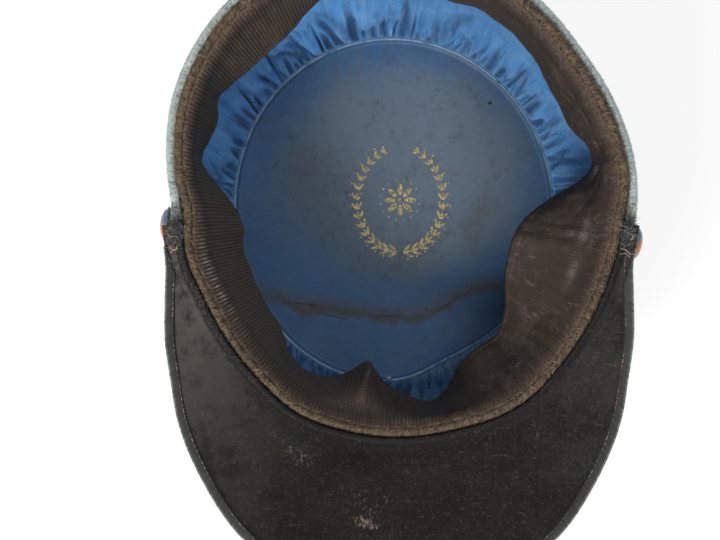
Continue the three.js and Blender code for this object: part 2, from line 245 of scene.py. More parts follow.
def add_object(name, points, faces, material):
    piece = link_points(name, points, faces=faces)
    piece.data.materials.append(material)
    piece.data.polygons.foreach_set("use_smooth", [True] * len(faces))
    piece.data.update()
    return piece


def store(piece, name, values, kind="FLOAT"):
    """Stores a number, or with kind FLOAT_VECTOR three of them, on each point of a piece."""
    layer = piece.data.attributes.new(name, kind, "POINT")
    field = "value" if kind == "FLOAT" else "vector"
    layer.data.foreach_set(field, np.asarray(values, np.float32).reshape(-1))


def set_lengths(piece, loops):
    """Stores on each point how far it lies along the ring and down the section, in metres."""
    step = np.linalg.norm(np.roll(loops, -1, axis=0) - loops, axis=2).mean(axis=1)
    along = np.concatenate([[0], np.cumsum(step)[:-1]])
    down_step = np.linalg.norm(np.diff(loops, axis=1), axis=2)
    down = np.concatenate([np.zeros((len(loops), 1)), np.cumsum(down_step, axis=1)], axis=1)
    place = np.stack([along[:, None] + 0 * down, down, 0 * down], axis=-1)
    store(piece, "cloth_place", place, "FLOAT_VECTOR")


def carry_round(name, loops, material, closed=True):
    """Joins equal closed sections, one for each bearing, into one closed skin whose faces look out."""
    rounds, size = loops.shape[0], loops.shape[1]
    spans = rounds if closed else rounds - 1
    i = np.arange(spans)[:, None]
    j = np.arange(size)[None, :]
    here, beyond = i * size, ((i + 1) % rounds) * size
    k = (j + 1) % size
    quads = np.stack([here + j, beyond + j, beyond + k, here + k], axis=-1).reshape(-1, 4)
    points = loops.reshape(-1, 3)
    a, b, c, d = (points[quads[:, n]] for n in range(4))
    volume = np.einsum("ij,ij->i", a, np.cross(b, c) + np.cross(c, d)).sum()
    faces = [tuple(quad) for quad in (quads if volume > 0 else quads[:, ::-1]).tolist()]
    if not closed:
        first = list(range(size))
        last = [(rounds - 1) * size + n for n in range(size)]
        faces.append(tuple(first[::-1] if volume < 0 else first))
        faces.append(tuple(last if volume < 0 else last[::-1]))
    piece = add_object(name, points, faces, material)
    set_lengths(piece, loops)
    return piece


def carry_sections(name, bearing, sections, material, closed=True):
    """Carries round the cap a section for each bearing, each point given by its radius and its height."""
    loops = points_round(bearing[:, None], sections[..., 0], sections[..., 1])
    return carry_round(name, loops, material, closed)


def capped_skin(rows, first, last):
    """Points and faces of equal open rows, joined side by side and closed by one point at each end."""
    count, size = rows.shape[:2]
    i, j = np.arange(count)[:, None], np.arange(size - 1)[None, :]
    here, beyond = i * size, (i + 1) % count * size
    quads = np.stack([here + j, here + j + 1, beyond + j + 1, beyond + j], axis=-1)
    faces = [tuple(quad) for quad in quads.reshape(-1, 4).tolist()]
    for n in range(count):
        here, beyond = n * size, (n + 1) % count * size
        faces.append((count * size, here, beyond))
        faces.append((count * size + 1, beyond + size - 1, here + size - 1))
    return np.concatenate([rows.reshape(-1, 3), [first, last]]), faces


def add_node(tree, kind, inputs, **settings):
    """A node with its settings, and each of its inputs linked to a socket or set to a value."""
    node = tree.nodes.new(kind)
    for name, value in settings.items():
        setattr(node, name, value)
    for key, value in inputs.items():
        if isinstance(value, bpy.types.NodeSocket):
            tree.links.new(value, node.inputs[key])
        else:
            node.inputs[key].default_value = value
    return node


def own_place(tree, scale=(1, 1, 1), turn=(0, 0, 0)):
    """The piece's own object coordinates in metres, scaled and turned."""
    source = tree.nodes.new("ShaderNodeTexCoord").outputs["Object"]
    inputs = {"Vector": source, "Scale": scale, "Rotation": turn}
    return add_node(tree, "ShaderNodeMapping", inputs).outputs["Vector"]


def own_course(tree, scale):
    """How far a spot lies along the ring and down the section, scaled."""
    source = add_node(tree, "ShaderNodeAttribute", {}, attribute_name="cloth_place").outputs["Vector"]
    return add_node(tree, "ShaderNodeMapping", {"Vector": source, "Scale": scale}).outputs["Vector"]


def own_value(tree, name):
    return add_node(tree, "ShaderNodeAttribute", {}, attribute_name=name).outputs["Fac"]


def noise(tree, place, scale, detail=4.0, roughness=0.6, distortion=0.0):
    inputs = {"Vector": place, "Scale": scale, "Detail": detail, "Roughness": roughness}
    inputs["Distortion"] = distortion
    return add_node(tree, "ShaderNodeTexNoise", inputs).outputs["Fac"]


def ramp(tree, value, stops):
    """A colour for each stop of a value."""
    node = add_node(tree, "ShaderNodeValToRGB", {"Fac": value})
    while len(node.color_ramp.elements) < len(stops):
        node.color_ramp.elements.new(0.5)
    for element, (position, colour) in zip(node.color_ramp.elements, stops):
        element.position = position
        element.color = (*colour, 1.0)
    return node.outputs["Color"]


def mix(tree, share, first, second):
    """Two colours mixed by a share, which is a number or a socket."""
    first, second = ((*c, 1.0) if isinstance(c, tuple) else c for c in (first, second))
    inputs = {0: share, 6: first, 7: second}
    return add_node(tree, "ShaderNodeMix", inputs, data_type="RGBA").outputs[2]


def maths(tree, kind, first, second=0.0):
    return add_node(tree, "ShaderNodeMath", {0: first, 1: second}, operation=kind).outputs[0]


def times(tree, *factors):
    """The product of numbers and sockets."""
    product = factors[0]
    for factor in factors[1:]:
        product = maths(tree, "MULTIPLY", product, factor)
    return product


def paint(tree, shader, colour):
    tree.links.new(colour, shader.inputs["Base Color"])


def with_painted_light(tree, colour):
    """A colour made brighter or darker by the piece's own painted light and shade."""
    inputs = {0: colour, "Scale": own_value(tree, "painted_light")}
    return add_node(tree, "ShaderNodeVectorMath", inputs, operation="SCALE").outputs[0]


def rise(tree, value, low, high):
    """0 below low and 1 above high, smoothly between. With low over high it falls instead."""
    inputs = {"Value": value, "From Min": low, "From Max": high}
    node = add_node(tree, "ShaderNodeMapRange", inputs, interpolation_type="SMOOTHSTEP")
    return node.outputs["Result"]


def bump(tree, shader, height, distance, strength=1.0, under=None):
    """Raises the surface where height is high. A bump under it is added to it."""
    inputs = {"Height": height, "Distance": distance, "Strength": strength}
    if under is not None:
        inputs["Normal"] = under
    normal = add_node(tree, "ShaderNodeBump", inputs).outputs["Normal"]
    tree.links.new(normal, shader.inputs["Normal"])
    return normal


def spot_mask(tree, spots, ragged, softness=0.5):
    """Each spot's strength inside its ragged edge. A spot is given by where it lies across and along,
    its half length and half width in millimetres, its turn in degrees and its strength."""
    edge, raggedness = 1.6, 1.2
    any_height = 1000.0
    mask = 0.0
    for across, along, half_length, half_width, turn, strength in spots:
        source = tree.nodes.new("ShaderNodeTexCoord").outputs["Object"]
        inputs = {"Vector": source, "Location": (across * MM, along * MM, 0)}
        inputs["Rotation"] = (0, 0, math.radians(turn))
        inputs["Scale"] = (half_length * MM, half_width * MM, any_height)
        place = add_node(tree, "ShaderNodeMapping", inputs, vector_type="TEXTURE").outputs["Vector"]
        apart = add_node(tree, "ShaderNodeVectorMath", {0: place}, operation="LENGTH").outputs["Value"]
        apart = maths(tree, "ADD", apart, times(tree, ragged, raggedness))
        spot = times(tree, rise(tree, apart, edge + softness, edge - softness), strength)
        mask = maths(tree, "MAXIMUM", spot, mask)
    return mask


def finish_piece(piece, slot, *nodes):
    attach(piece, "root")
    if nodes:
        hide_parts(*nodes)


wool_pale = (0.52, 0.6, 0.58)
wool_mid = (0.37, 0.45, 0.45)
wool_dark = (0.16, 0.19, 0.2)
hole_shade = (0.012, 0.011, 0.01)
wool_settings = {"Sheen Weight": 0.35, "Sheen Roughness": 0.6, "Specular IOR Level": 0.2}
wool, tree, shader = new_material("grey_blue_wool", 0.95, wool_settings)
metres = own_place(tree)
felted = noise(tree, metres, 900.0, 6.0, 0.7)
cloudy = noise(tree, metres, 60.0, 4.0, 0.6)
fibre = noise(tree, metres, 2600.0, 3.0, 0.8, 1.5)
wool_colour = ramp(tree, felted, [(0.3, wool_dark), (0.48, wool_mid), (0.7, wool_pale)])
wool_colour = mix(tree, rise(tree, cloudy, 0.45, 0.75), wool_colour, wool_mid)
# Moth holes in the rim, painted near-black as painted shade: across, along, half length and half width
# in millimetres, turn and strength.
moth_holes = [
    (82.0, 29.7, 0.75, 0.6, 20, 1.0), (66.5, 52.8, 0.7, 0.4, -40, 0.8), (84.3, 9.4, 0.6, 0.35, 70, 0.9),
    (-85.2, 11.4, 0.5, 0.4, 0, 0.7),
]
wool_colour = mix(tree, spot_mask(tree, moth_holes, felted), wool_colour, hole_shade)
paint(tree, shader, wool_colour)
bump(tree, shader, maths(tree, "ADD", felted, fibre), 0.35 * MM, 0.8)

bearings = np.arange(0, 360, 1.0)
edge_angles = np.radians(np.linspace(0, 90, 7))


def crown_top_cloth():
    """The oval top: a flat slab with a soft rounded edge, closed at the middle of both faces."""
    round_edge = 1.3 * MM
    edge = crown_radius(bearings)
    face_shares = (0.25, 0.55, 0.85)
    rings = [(share * edge, 0.0) for share in face_shares]
    for angle in edge_angles:
        rings.append((edge - round_edge * (1 - math.sin(angle)), round_edge * (1 - math.cos(angle))))
    for angle in edge_angles:
        height = crown_top_wall - round_edge * (1 - math.sin(angle))
        rings.append((edge - round_edge * (1 - math.cos(angle)), height))
    rings += [(share * edge, crown_top_wall) for share in face_shares[::-1]]
    rows = np.stack([points_round(bearings, radius, height) for radius, height in rings], axis=1)
    points, faces = capped_skin(rows, (0, 0, 0), (0, 0, crown_top_wall))
    return add_object("crown_top_cloth", points, faces, wool)


crown_top = crown_top_cloth()
finish_piece(crown_top, "cloth", "crown_top")


def wall_sections(bearing, low, high, wall, edge, rows, unevenness):
    """Sections of a cloth wall from low to high, with rounded and slightly uneven edges."""
    share = np.linspace(0, 1, rows)
    edge_waves = soft_waves(3, 14, 12, 110)
    high = high + unevenness * edge_waves(bearing, 0.0)
    sections = []
    for n, at in enumerate(bearing):
        bottom, top = low[n] + edge, high[n] - edge
        heights = bottom + (top - bottom) * share
        outer = wall_radius(at, heights) + unevenness * edge_waves(at, heights * 0.2)
        inner = outer - wall
        turn = np.radians(np.linspace(0, 180, 9))[1:-1]
        crest = pair(outer[-1] - wall / 2 * (1 - np.cos(turn)), top + edge * np.sin(turn))
        base = pair(outer[0] - wall / 2 * (1 + np.cos(turn)), bottom - edge * np.sin(turn))
        face, back = pair(outer, heights), pair(inner, heights)[::-1]
        sections.append(np.concatenate([face, crest, back, base]))
    return np.array(sections)


side_low = np.full(len(bearings), crown_top_wall + seam_gap)
side_high = rim_height(bearings) - band_height - seam_gap
sections = wall_sections(bearings, side_low, side_high, crown_side_wall, side_crown, 20, 0.0)
crown_side = carry_sections("crown_side_cloth", bearings, sections, wool)
finish_piece(crown_side, "cloth", "crown_side")

band_bearings = np.arange(0, 360, 0.5)
band_top = rim_height(band_bearings)
band_low = band_top - band_height
sections = wall_sections(band_bearings, band_low, band_top, band_wall, rim_crown, 16, rim_unevenness)
band_piece = carry_sections("band_cloth", band_bearings, sections, wool)
finish_piece(band_piece, "cloth", "band")

# The sweatband.
# Ribbed brown-black leather, 40 mm wide, sewn along the rim and left free below. It rolls over from its
# bead, then hangs in waves and leans far in at the front right. The ribs are pressed across its width.
leather_wall = 1.3 * MM
sweatband_width = 40.0 * MM
bead_radius = 1.5 * MM
bead_rise = 0.4 * MM
mean_bead_ring = 88.0 * MM
visor_corner = 85.0
visor_fade = 12.0
flange_wall = 1.4 * MM
flange_room = 0.5 * MM
rib_pitch = 1.58 * MM
rib_height = 0.3 * MM
columns_per_rib = 6
roll_lean = 0.84
creased_line = 3.2 * MM

# Bearing, and how far the free edge leans in there as a share of the band's width.
sweatband_lean = [
    (0, 0.2), (25, 0.14), (42, 0.14), (54, 0.19), (65, 0.23), (74, 0.13), (80, 0.22), (86, 0.57),
    (94, 0.78), (105, 0.88), (114, 0.86), (124, 0.79), (133, 0.63), (140, 0.54), (150, 0.57),
    (158, 0.48), (165, 0.25), (171, 0.19), (177, 0.27), (184, 0.42), (191, 0.59), (198, 0.42),
    (206, 0.29), (215, 0.27), (225, 0.38), (248, 0.41), (260, 0.45), (271, 0.37), (279, 0.22),
    (284, 0.13), (296, 0.24), (302, 0.2), (312, 0.33), (323, 0.37), (333, 0.28), (341, 0.17),
]
# Bearing, how sharp the ribs still are there, and how brown the leather has worn, which also paints it darker
# as painted shade.
sweatband_wear = [
    (0, 0.7, 0.5), (30, 0.4, 0.8), (60, 0.2, 0.9), (90, 0.2, 1.0), (125, 0.27, 0.95), (150, 0.35, 0.8),
    (175, 0.45, 0.6), (190, 0.6, 0.4), (205, 0.9, 0.15), (230, 1.0, 0.05), (270, 1.0, 0.15),
    (310, 0.85, 0.35),
]
# Bearing, and how far from the bead the leather lies nearly flat before it turns down, in millimetres.
sweatband_roll = [
    (0, 6), (60, 7), (100, 9), (150, 8), (165, 5), (173, 6), (179, 9), (185, 13), (191, 17), (197, 13),
    (205, 9), (225, 8.5), (250, 8), (275, 6), (320, 6),
]
# Creases and low ridges in the leather: from a bearing and a distance down in millimetres to another,
# how high the ridge stands (a crease is below zero) and its half width.
leather_folds = [
    (97, 16, 112, 17, 0.9, 2.6), (112, 17, 126, 22, 0.7, 3.0), (97, 8, 118, 10, -0.8, 3.2),
    (128, 14, 146, 17, 0.6, 2.6), (146, 23, 158, 15, -0.7, 2.4), (189.5, 39, 191, 14, 2.3, 2.2),
    (186, 36, 183, 14, -1.1, 2.6), (210, 30, 224, 22, -0.5, 3.0), (245, 28, 262, 24, 0.6, 3.4),
    (35, 16, 70, 20, 0.6, 2.8), (20, 26, 52, 24, -0.5, 3.0), (330, 18, 350, 15, 0.5, 3.0),
    (66, 14, 94, 22, -3.0, 5.0), (92, 24, 101, 33, -0.8, 4.0), (184, 37, 180, 12, -2.2, 3.4),
]
# Thin pale cracks where the worn leather has creased, with the same columns.
leather_cracks = [
    (90, 14, 97, 12, 0.35, 0.5), (97, 12, 104, 13.5, 0.35, 0.5), (104, 13.5, 114, 12, 0.3, 0.5),
    (114, 12, 129, 10.5, 0.3, 0.5), (100, 8.5, 108, 9.5, 0.3, 0.4), (97, 17, 103, 20, 0.25, 0.5),
    (104, 18, 112, 15.5, 0.25, 0.4), (126, 17, 131, 26, 0.3, 0.5), (140, 14, 149, 9, 0.3, 0.5),
    (148, 20, 158, 13, 0.3, 0.5), (45, 9, 60, 13, 0.3, 0.5), (60, 13, 74, 12, 0.3, 0.5),
    (55, 20, 66, 24, 0.3, 0.4), (20, 12, 34, 15, 0.25, 0.5), (70, 20, 84, 26, 0.3, 0.5),
    (189, 38, 190.5, 22, 0.4, 0.6),
]


def bead_inset(bearing):
    flange_share = fade(visor_corner + visor_fade - turn_from_front(bearing), 0, visor_fade)
    return band_wall + seam_gap + flange_share * (flange_wall + flange_room)


def sweatband_strip(bearing, downs):
    """The middle of the leather at each distance down from the bead, and the way it runs there."""
    lean = follow(sweatband_lean, bearing, 360)[:, None]
    fine = np.arange(0, sweatband_width + 0.25 * MM, 0.5 * MM)
    turned_down = follow(sweatband_roll, bearing, 360)[:, None] * MM
    roll = 1 - fade(fine / turned_down, 0.55, 1.3)
    roll_share = roll.mean(axis=1, keepdims=True)
    roll_here = np.maximum(np.minimum(roll_lean, 0.9 * lean / roll_share), lean)
    hang = np.maximum((lean - roll_here * roll_share) / (1 - roll_share), 0.02)
    growth = 0.85 + 0.3 * fine / sweatband_width
    inward = np.clip(hang * growth * (1 - roll) + roll_here * roll, 0, 0.97)
    step = fine[1] - fine[0]
    across = np.cumsum(inward, axis=1) * step
    drop = np.cumsum(np.sqrt(1 - inward**2), axis=1) * step
    place = np.clip(np.searchsorted(fine, downs), 1, len(fine) - 1)
    radius = (rim_radius(bearing) - bead_inset(bearing) - bead_radius)[:, None] - across[:, place]
    over_bead = 0.6 * bead_radius * (1 - fade(downs, 0, 7 * MM))
    height = (rim_height(bearing) + bead_rise)[:, None] - drop[:, place] + over_bead
    way = pair(-inward[:, place], -np.sqrt(1 - inward[:, place] ** 2))
    return pair(radius, height), way


def fold_lift(rows, bearing, down):
    """How far the ridges and creases of a table stand out at each bearing and distance down."""
    round_way = mean_bead_ring / MM * math.radians(1)
    lift = 0
    for from_turn, from_down, to_turn, to_down, height, half in rows:
        run = np.array([(to_turn - from_turn) * round_way, to_down - from_down])
        length = np.hypot(*run)
        across = (np.mod(bearing - from_turn + 180, 360) - 180) * round_way
        along = np.clip((across * run[0] + (down / MM - from_down) * run[1]) / length**2, 0, 1)
        apart = np.hypot(across - run[0] * along, down / MM - from_down - run[1] * along)
        ends = 0.35 + 0.65 * np.sin(math.pi * along)
        lift = lift + height * MM * ends * np.exp(-((apart / half) ** 2))
    return lift


def new_tree(name, inputs):
    """A geometry node tree, and the sockets that give its named inputs."""
    tree = bpy.data.node_groups.new(name, "GeometryNodeTree")
    tree.interface.new_socket("Geometry", in_out="INPUT", socket_type="NodeSocketGeometry")
    for label, kind in inputs:
        tree.interface.new_socket(label, in_out="INPUT", socket_type=kind)
    tree.interface.new_socket("Geometry", in_out="OUTPUT", socket_type="NodeSocketGeometry")
    return tree, tree.nodes.new("NodeGroupInput").outputs


def close_tree(tree, geometry, given, smooth=True):
    """Ends a tree: instances made real, shaded smooth or flat, in their material."""
    real = add_node(tree, "GeometryNodeRealizeInstances", {"Geometry": geometry}).outputs[0]
    inputs = {"Geometry": real, "Shade Smooth": smooth}
    shaded = add_node(tree, "GeometryNodeSetShadeSmooth", inputs).outputs[0]
    inputs = {"Geometry": shaded, "Material": given["Material"]}
    coated = add_node(tree, "GeometryNodeSetMaterial", inputs).outputs[0]
    add_node(tree, "NodeGroupOutput", {0: coated})


def apply_tree(piece, tree, values):
    """Runs a tree on a piece with the given inputs, and keeps the result as its plain mesh."""
    modifier = piece.modifiers.new(tree.name, "NODES")
    modifier.node_group = tree
    for item in tree.interface.items_tree:
        if item.in_out == "INPUT" and item.name in values:
            modifier[item.identifier] = values[item.name]
    graph = bpy.context.evaluated_depsgraph_get()
    result = bpy.data.meshes.new_from_object(piece.evaluated_get(graph), depsgraph=graph)
    piece.modifiers.remove(modifier)
    piece.data = result


def read_value(tree, name, kind="FLOAT"):
    node = add_node(tree, "GeometryNodeInputNamedAttribute", {"Name": name}, data_type=kind)
    return node.outputs["Attribute"]


def rib_press():
    """Raises round ribs along the normal: a rib for each whole step of the stored rib count."""
    kinds = [("Rib height", "NodeSocketFloat"), ("Material", "NodeSocketMaterial")]
    tree, given = new_tree("rib_press", kinds)
    turn = times(tree, read_value(tree, "rib_count"), math.pi)
    ridge = maths(tree, "POWER", maths(tree, "ABSOLUTE", maths(tree, "SINE", turn)), 0.8)
    lift = times(tree, ridge, given["Rib height"], read_value(tree, "rib_strength"))
    normal = tree.nodes.new("GeometryNodeInputNormal").outputs[0]
    inputs = {0: normal, "Scale": lift}
    offset = add_node(tree, "ShaderNodeVectorMath", inputs, operation="SCALE").outputs[0]
    inputs = {"Geometry": given["Geometry"], "Offset": offset}
    moved = add_node(tree, "GeometryNodeSetPosition", inputs).outputs[0]
    inputs = {"Geometry": moved, "Name": "ridge", "Value": ridge}
    marked = add_node(tree, "GeometryNodeStoreNamedAttribute", inputs, data_type="FLOAT", domain="POINT")
    close_tree(tree, marked.outputs[0], given)
    return tree


def length_along(bearing, radius):
    """The length of a level curve from its first point to each of its points."""
    spots = points_round(bearing, radius, 0)
    return np.concatenate([[0], np.cumsum(np.linalg.norm(np.diff(spots, axis=0), axis=1))])


fine = np.linspace(0, 360, 3601)
fine_length = length_along(fine, rim_radius(fine) - bead_inset(fine))
rib_total = round(float(fine_length[-1]) / rib_pitch)
rib_steps = np.arange(rib_total * columns_per_rib) / (rib_total * columns_per_rib)
rib_bearings = np.interp(rib_steps * fine_length[-1], fine_length, fine)
inner_downs = np.array([
    0.8, 1.6, 2.4, 3.2, 4.2, 5.4, 6.8, 8.4, 10.2, 12.4, 15, 18, 21, 24, 27, 30, 33, 35, 36.2, 36.8,
    37.4, 38.4, 39.4,
]) * MM
outer_downs = np.array([39.4, 36, 30, 23, 16, 10, 6, 3, 0.8]) * MM
lean_waves = soft_waves(11, 9, 5, 40)
dent_waves = soft_waves(12, 14, 18, 90)


def sweatband_faces():
    """Sections of the leather: the ribbed face from the bead down, the free edge, and back up behind."""
    face, way = sweatband_strip(rib_bearings, inner_downs)
    back, back_way = sweatband_strip(rib_bearings, outer_downs)
    square = pair(way[..., 1], -way[..., 0])
    back_square = pair(back_way[..., 1], -back_way[..., 0])
    at, down = rib_bearings[:, None], inner_downs[None, :]
    loose = fade(down, 4 * MM, 30 * MM)
    sway = (0.5 * lean_waves(at, down) * loose + 0.16 * dent_waves(at, down)) * MM
    line = np.exp(-(((sweatband_width - creased_line - down) / (0.45 * MM)) ** 2))
    sway = sway + fold_lift(leather_folds, at, down) + fold_lift(leather_cracks, at, down)
    front = face + square * (leather_wall / 2 + sway - 0.25 * MM * line)[..., None]
    behind = back - back_square * (leather_wall / 2)
    tip, tip_way = sweatband_strip(rib_bearings, np.array([sweatband_width]))
    tip = tip + tip_way * leather_wall * 0.25
    return np.concatenate([front, tip, behind], axis=1)


sections = sweatband_faces()
leather_settings = {"Specular IOR Level": 0.22}
sweat_leather, tree, shader = new_material("ribbed_sweatband_leather", 0.42, leather_settings)
sweatband = carry_sections("sweatband_leather", rib_bearings, sections, sweat_leather)
section_size = sections.shape[1]
down_of = np.concatenate([inner_downs, [sweatband_width], outer_downs])
shows = np.arange(section_size) < len(inner_downs)
grip = shows * fade(down_of, 1.0 * MM, 2.6 * MM) * (1 - fade(down_of, 37.6 * MM, 39.4 * MM))
sharp = follow([(row[0], row[1]) for row in sweatband_wear], rib_bearings, 360)
brown = follow([(row[0], row[2]) for row in sweatband_wear], rib_bearings, 360)
store(sweatband, "rib_count", np.repeat(np.arange(len(rib_bearings)) / columns_per_rib, section_size))
store(sweatband, "rib_strength", sharp[:, None] * grip[None, :])
store(sweatband, "brown", np.repeat(brown, section_size))
cracked = fold_lift(leather_cracks, rib_bearings[:, None], down_of[None, :]) * shows
store(sweatband, "cracked", np.clip(cracked / (0.3 * MM), 0, 1))
# Where a painted highlight lies pale on the ribs, in place of the lamps' glint: a bearing with its half
# width, a distance down in millimetres with its half width, and the strength.
rib_highlight_places = [(247, 14, 4.6, 1.4, 1.0), (177, 5, 3.6, 1.6, 0.3)]
rib_highlight = 0
for turn, half_turn, low, half_low, strength in rib_highlight_places:
    aside = (rib_bearings[:, None] - turn) / half_turn
    beside = (down_of[None, :] / MM - low) / half_low
    rib_highlight = np.maximum(rib_highlight, strength * np.exp(-(aside**2) - beside**2))
store(sweatband, "rib_highlight", rib_highlight * shows)
store(sweatband, "down", np.tile(down_of / sweatband_width, len(rib_bearings)))
apply_tree(sweatband, rib_press(), {"Rib height": rib_height, "Material": sweat_leather})

leather_black = (0.05, 0.041, 0.035)
leather_painted_light = (0.12, 0.092, 0.068)
leather_brown_shade = (0.029, 0.02, 0.0155)
leather_worn = (0.13, 0.11, 0.092)
leather_red = (0.1, 0.05, 0.032)
leather_grain_and_groove_shade = (0.018, 0.014, 0.012)
leather_tan = (0.13, 0.085, 0.055)
leather_painted_highlight = (0.28, 0.262, 0.225)
metres = own_place(tree)
patchy = noise(tree, metres, 55.0, 5.0, 0.65)
grain = noise(tree, metres, 1100.0, 7.0, 0.8)
streaks = noise(tree, own_course(tree, (500.0, 90.0, 1.0)), 1.0, 5.0, 0.75)
scratches = noise(tree, metres, 130.0, 6.0, 0.72, 2.2)
brown_share = own_value(tree, "brown")
down = own_value(tree, "down")
ridge = own_value(tree, "ridge")
# Painted light: the leather is painted paler lower down the band, where it hangs steeply and takes little
# light.
colour = mix(tree, rise(tree, down, 0.06, 0.34), leather_black, leather_painted_light)
# Brown wear in patches, painted darker than the leather: partly real brown wear, partly painted shade where
# the band lies flatter to the light above, at the right.
colour = mix(tree, times(tree, brown_share, rise(tree, patchy, 0.1, 0.5)), colour, leather_brown_shade)
colour = mix(tree, times(tree, rise(tree, grain, 0.58, 0.4), 0.65), colour, leather_grain_and_groove_shade)
near_bead = times(tree, rise(tree, down, 0.14, 0.02), rise(tree, grain, 0.4, 0.6), 0.8)
colour = mix(tree, near_bead, colour, leather_tan)
near_edge = times(tree, rise(tree, down, 0.89, 0.915), rise(tree, down, 0.955, 0.93))
near_edge = times(tree, near_edge, rise(tree, streaks, 0.48, 0.62), 0.7)
colour = mix(tree, near_edge, colour, leather_red)
scraped = times(tree, rise(tree, scratches, 0.53, 0.62), rise(tree, streaks, 0.42, 0.62), brown_share, 0.38)
cracks = times(tree, own_value(tree, "cracked"), rise(tree, grain, 0.35, 0.6))
colour = mix(tree, maths(tree, "MAXIMUM", scraped, cracks), colour, leather_worn)
# Painted shade in the grooves between the ribs.
groove_shade = times(tree, rise(tree, ridge, 0.75, 0.1), own_value(tree, "rib_strength"), 0.6)
colour = mix(tree, groove_shade, colour, leather_grain_and_groove_shade)
# Painted highlight: pale grey on the tops of the ribs in those places.
rib_highlight_share = times(tree, own_value(tree, "rib_highlight"), rise(tree, ridge, 0.45, 0.95), rise(tree, streaks, 0.38, 0.6))
paint(tree, shader, mix(tree, rib_highlight_share, colour, leather_painted_highlight))
dullness = maths(tree, "ADD", times(tree, brown_share, 0.32), times(tree, grain, 0.9))
tree.links.new(dullness, shader.inputs["Roughness"])
under = bump(tree, shader, grain, 0.14 * MM, 0.8)
bump(tree, shader, scratches, 0.2 * MM, 0.35, under)
finish_piece(sweatband, "sweatband_leather", "sweatband")

# The bead and its sewing.
# The leather's upper edge is rolled over a cord and whipped with brown thread, which has gone fibrous.
# Longer stitches hold it down over the rim's cloth, round the back from one visor corner to the other.
bead_bearings = np.arange(0, 360, 0.25)
bead_turns = np.radians(np.linspace(0, 360, 15)[:-1])
bead_waves = soft_waves(21, 12, 60, 260)


def bead_middle(bearing):
    return rim_radius(bearing) - bead_inset(bearing) - bead_radius, rim_height(bearing) + bead_rise


def bead_sections():
    middle, height = bead_middle(bead_bearings)
    around = bead_turns[None, :]
    swell = bead_radius + 0.11 * MM * bead_waves(bead_bearings[:, None], around / 300)
    pressed_on_cloth = 1 + 0.2 * np.maximum(np.cos(around), 0)
    radius = middle[:, None] + swell * np.cos(around) * pressed_on_cloth
    return pair(radius, height[:, None] + swell * np.sin(around))


thread_dark = (0.022, 0.016, 0.012)
thread_brown = (0.11, 0.075, 0.048)
thread_tan = (0.34, 0.2, 0.105)
thread_waxed = (0.3, 0.22, 0.12)
bead_leather, tree, shader = new_material("rolled_bead_leather", 0.75)
strands = noise(tree, own_course(tree, (1500.0, 1100.0, 1.0)), 1.0, 6.0, 0.8, 1.5)
paint(tree, shader, ramp(tree, strands, [(0.4, thread_dark), (0.55, thread_brown), (0.7, thread_tan)]))
bump(tree, shader, strands, 0.4 * MM, 1.0)
bead = carry_sections("sweatband_bead", bead_bearings, bead_sections(), bead_leather)
finish_piece(bead, "sweatband_leather")


def set_in_rows(name, shape, places, across, up, sizes, sizing, material, seed):
    """Copies one small shape to each place, its length along across and its top towards up."""
    piece = link_points(name, places)
    rng = np.random.default_rng(seed)
    store(piece, "across", across, "FLOAT_VECTOR")
    store(piece, "up", up, "FLOAT_VECTOR")
    store(piece, "size", sizes)
    store(piece, "shade", rng.uniform(0, 1, len(places)))
    apply_tree(piece, shape, {**sizing, "Material": material})
    return piece


def combined(tree, x, y, z):
    return add_node(tree, "ShaderNodeCombineXYZ", {0: x, 1: y, 2: z}).outputs[0]


def row_tree(name, sizes, make_shape, printed=False):
    """A tree that sets a shape on every point, turned by the point's own values. The point's size
    lengthens it, and also widens it where it is printed, so that it keeps its outline."""
    kinds = [(label, "NodeSocketFloat") for label in sizes] + [("Material", "NodeSocketMaterial")]
    tree, given = new_tree(name, kinds)
    shape = make_shape(tree, given)
    axes = {0: read_value(tree, "up", "FLOAT_VECTOR"), 1: read_value(tree, "across", "FLOAT_VECTOR")}
    settings = {"primary_axis": "Z", "secondary_axis": "X"}
    turn = add_node(tree, "FunctionNodeAxesToRotation", axes, **settings).outputs[0]
    size = read_value(tree, "size")
    scale = combined(tree, size, size if printed else 1.0, 1.0)
    inputs = {"Points": given["Geometry"], "Instance": shape, "Rotation": turn, "Scale": scale}
    row = add_node(tree, "GeometryNodeInstanceOnPoints", inputs).outputs[0]
    close_tree(tree, row, given, smooth=not printed)
    return tree


def thread_round(tree, path, radius, sides=5):
    inputs = {"Resolution": sides, "Radius": radius}
    profile = add_node(tree, "GeometryNodeCurvePrimitiveCircle", inputs).outputs[0]
    inputs = {"Curve": path, "Profile Curve": profile, "Fill Caps": True}
    return add_node(tree, "GeometryNodeCurveToMesh", inputs).outputs[0]


def bent_path(tree, steps, start, middle, end):
    inputs = {"Resolution": steps, "Start": start, "Middle": middle, "End": end}
    return add_node(tree, "GeometryNodeCurveQuadraticBezier", inputs).outputs[0]


def straight_stitch(tree, given):
    """A stitch one unit long, bowed up in the middle and sunk at both ends."""
    sunk = times(tree, given["Rise"], -0.6)
    bowed = times(tree, given["Rise"], 2.0)
    ends = [combined(tree, along, 0.0, height) for along, height in ((-0.5, sunk), (0.0, bowed), (0.5, sunk))]
    return thread_round(tree, bent_path(tree, 6, *ends), given["Thread"])


def round_stitch(tree, given):
    """A stitch that goes over the top of a round edge, in the upright plane."""
    inputs = {"Resolution": 10, "Radius": given["Reach"]}
    inputs.update({"Start Angle": given["Start"], "Sweep Angle": given["Sweep"]})
    arc = add_node(tree, "GeometryNodeCurveArc", inputs).outputs[0]
    inputs = {"Geometry": arc, "Rotation": (math.pi / 2, 0, 0)}
    path = add_node(tree, "GeometryNodeTransform", inputs).outputs[0]
    return thread_round(tree, path, given["Thread"])


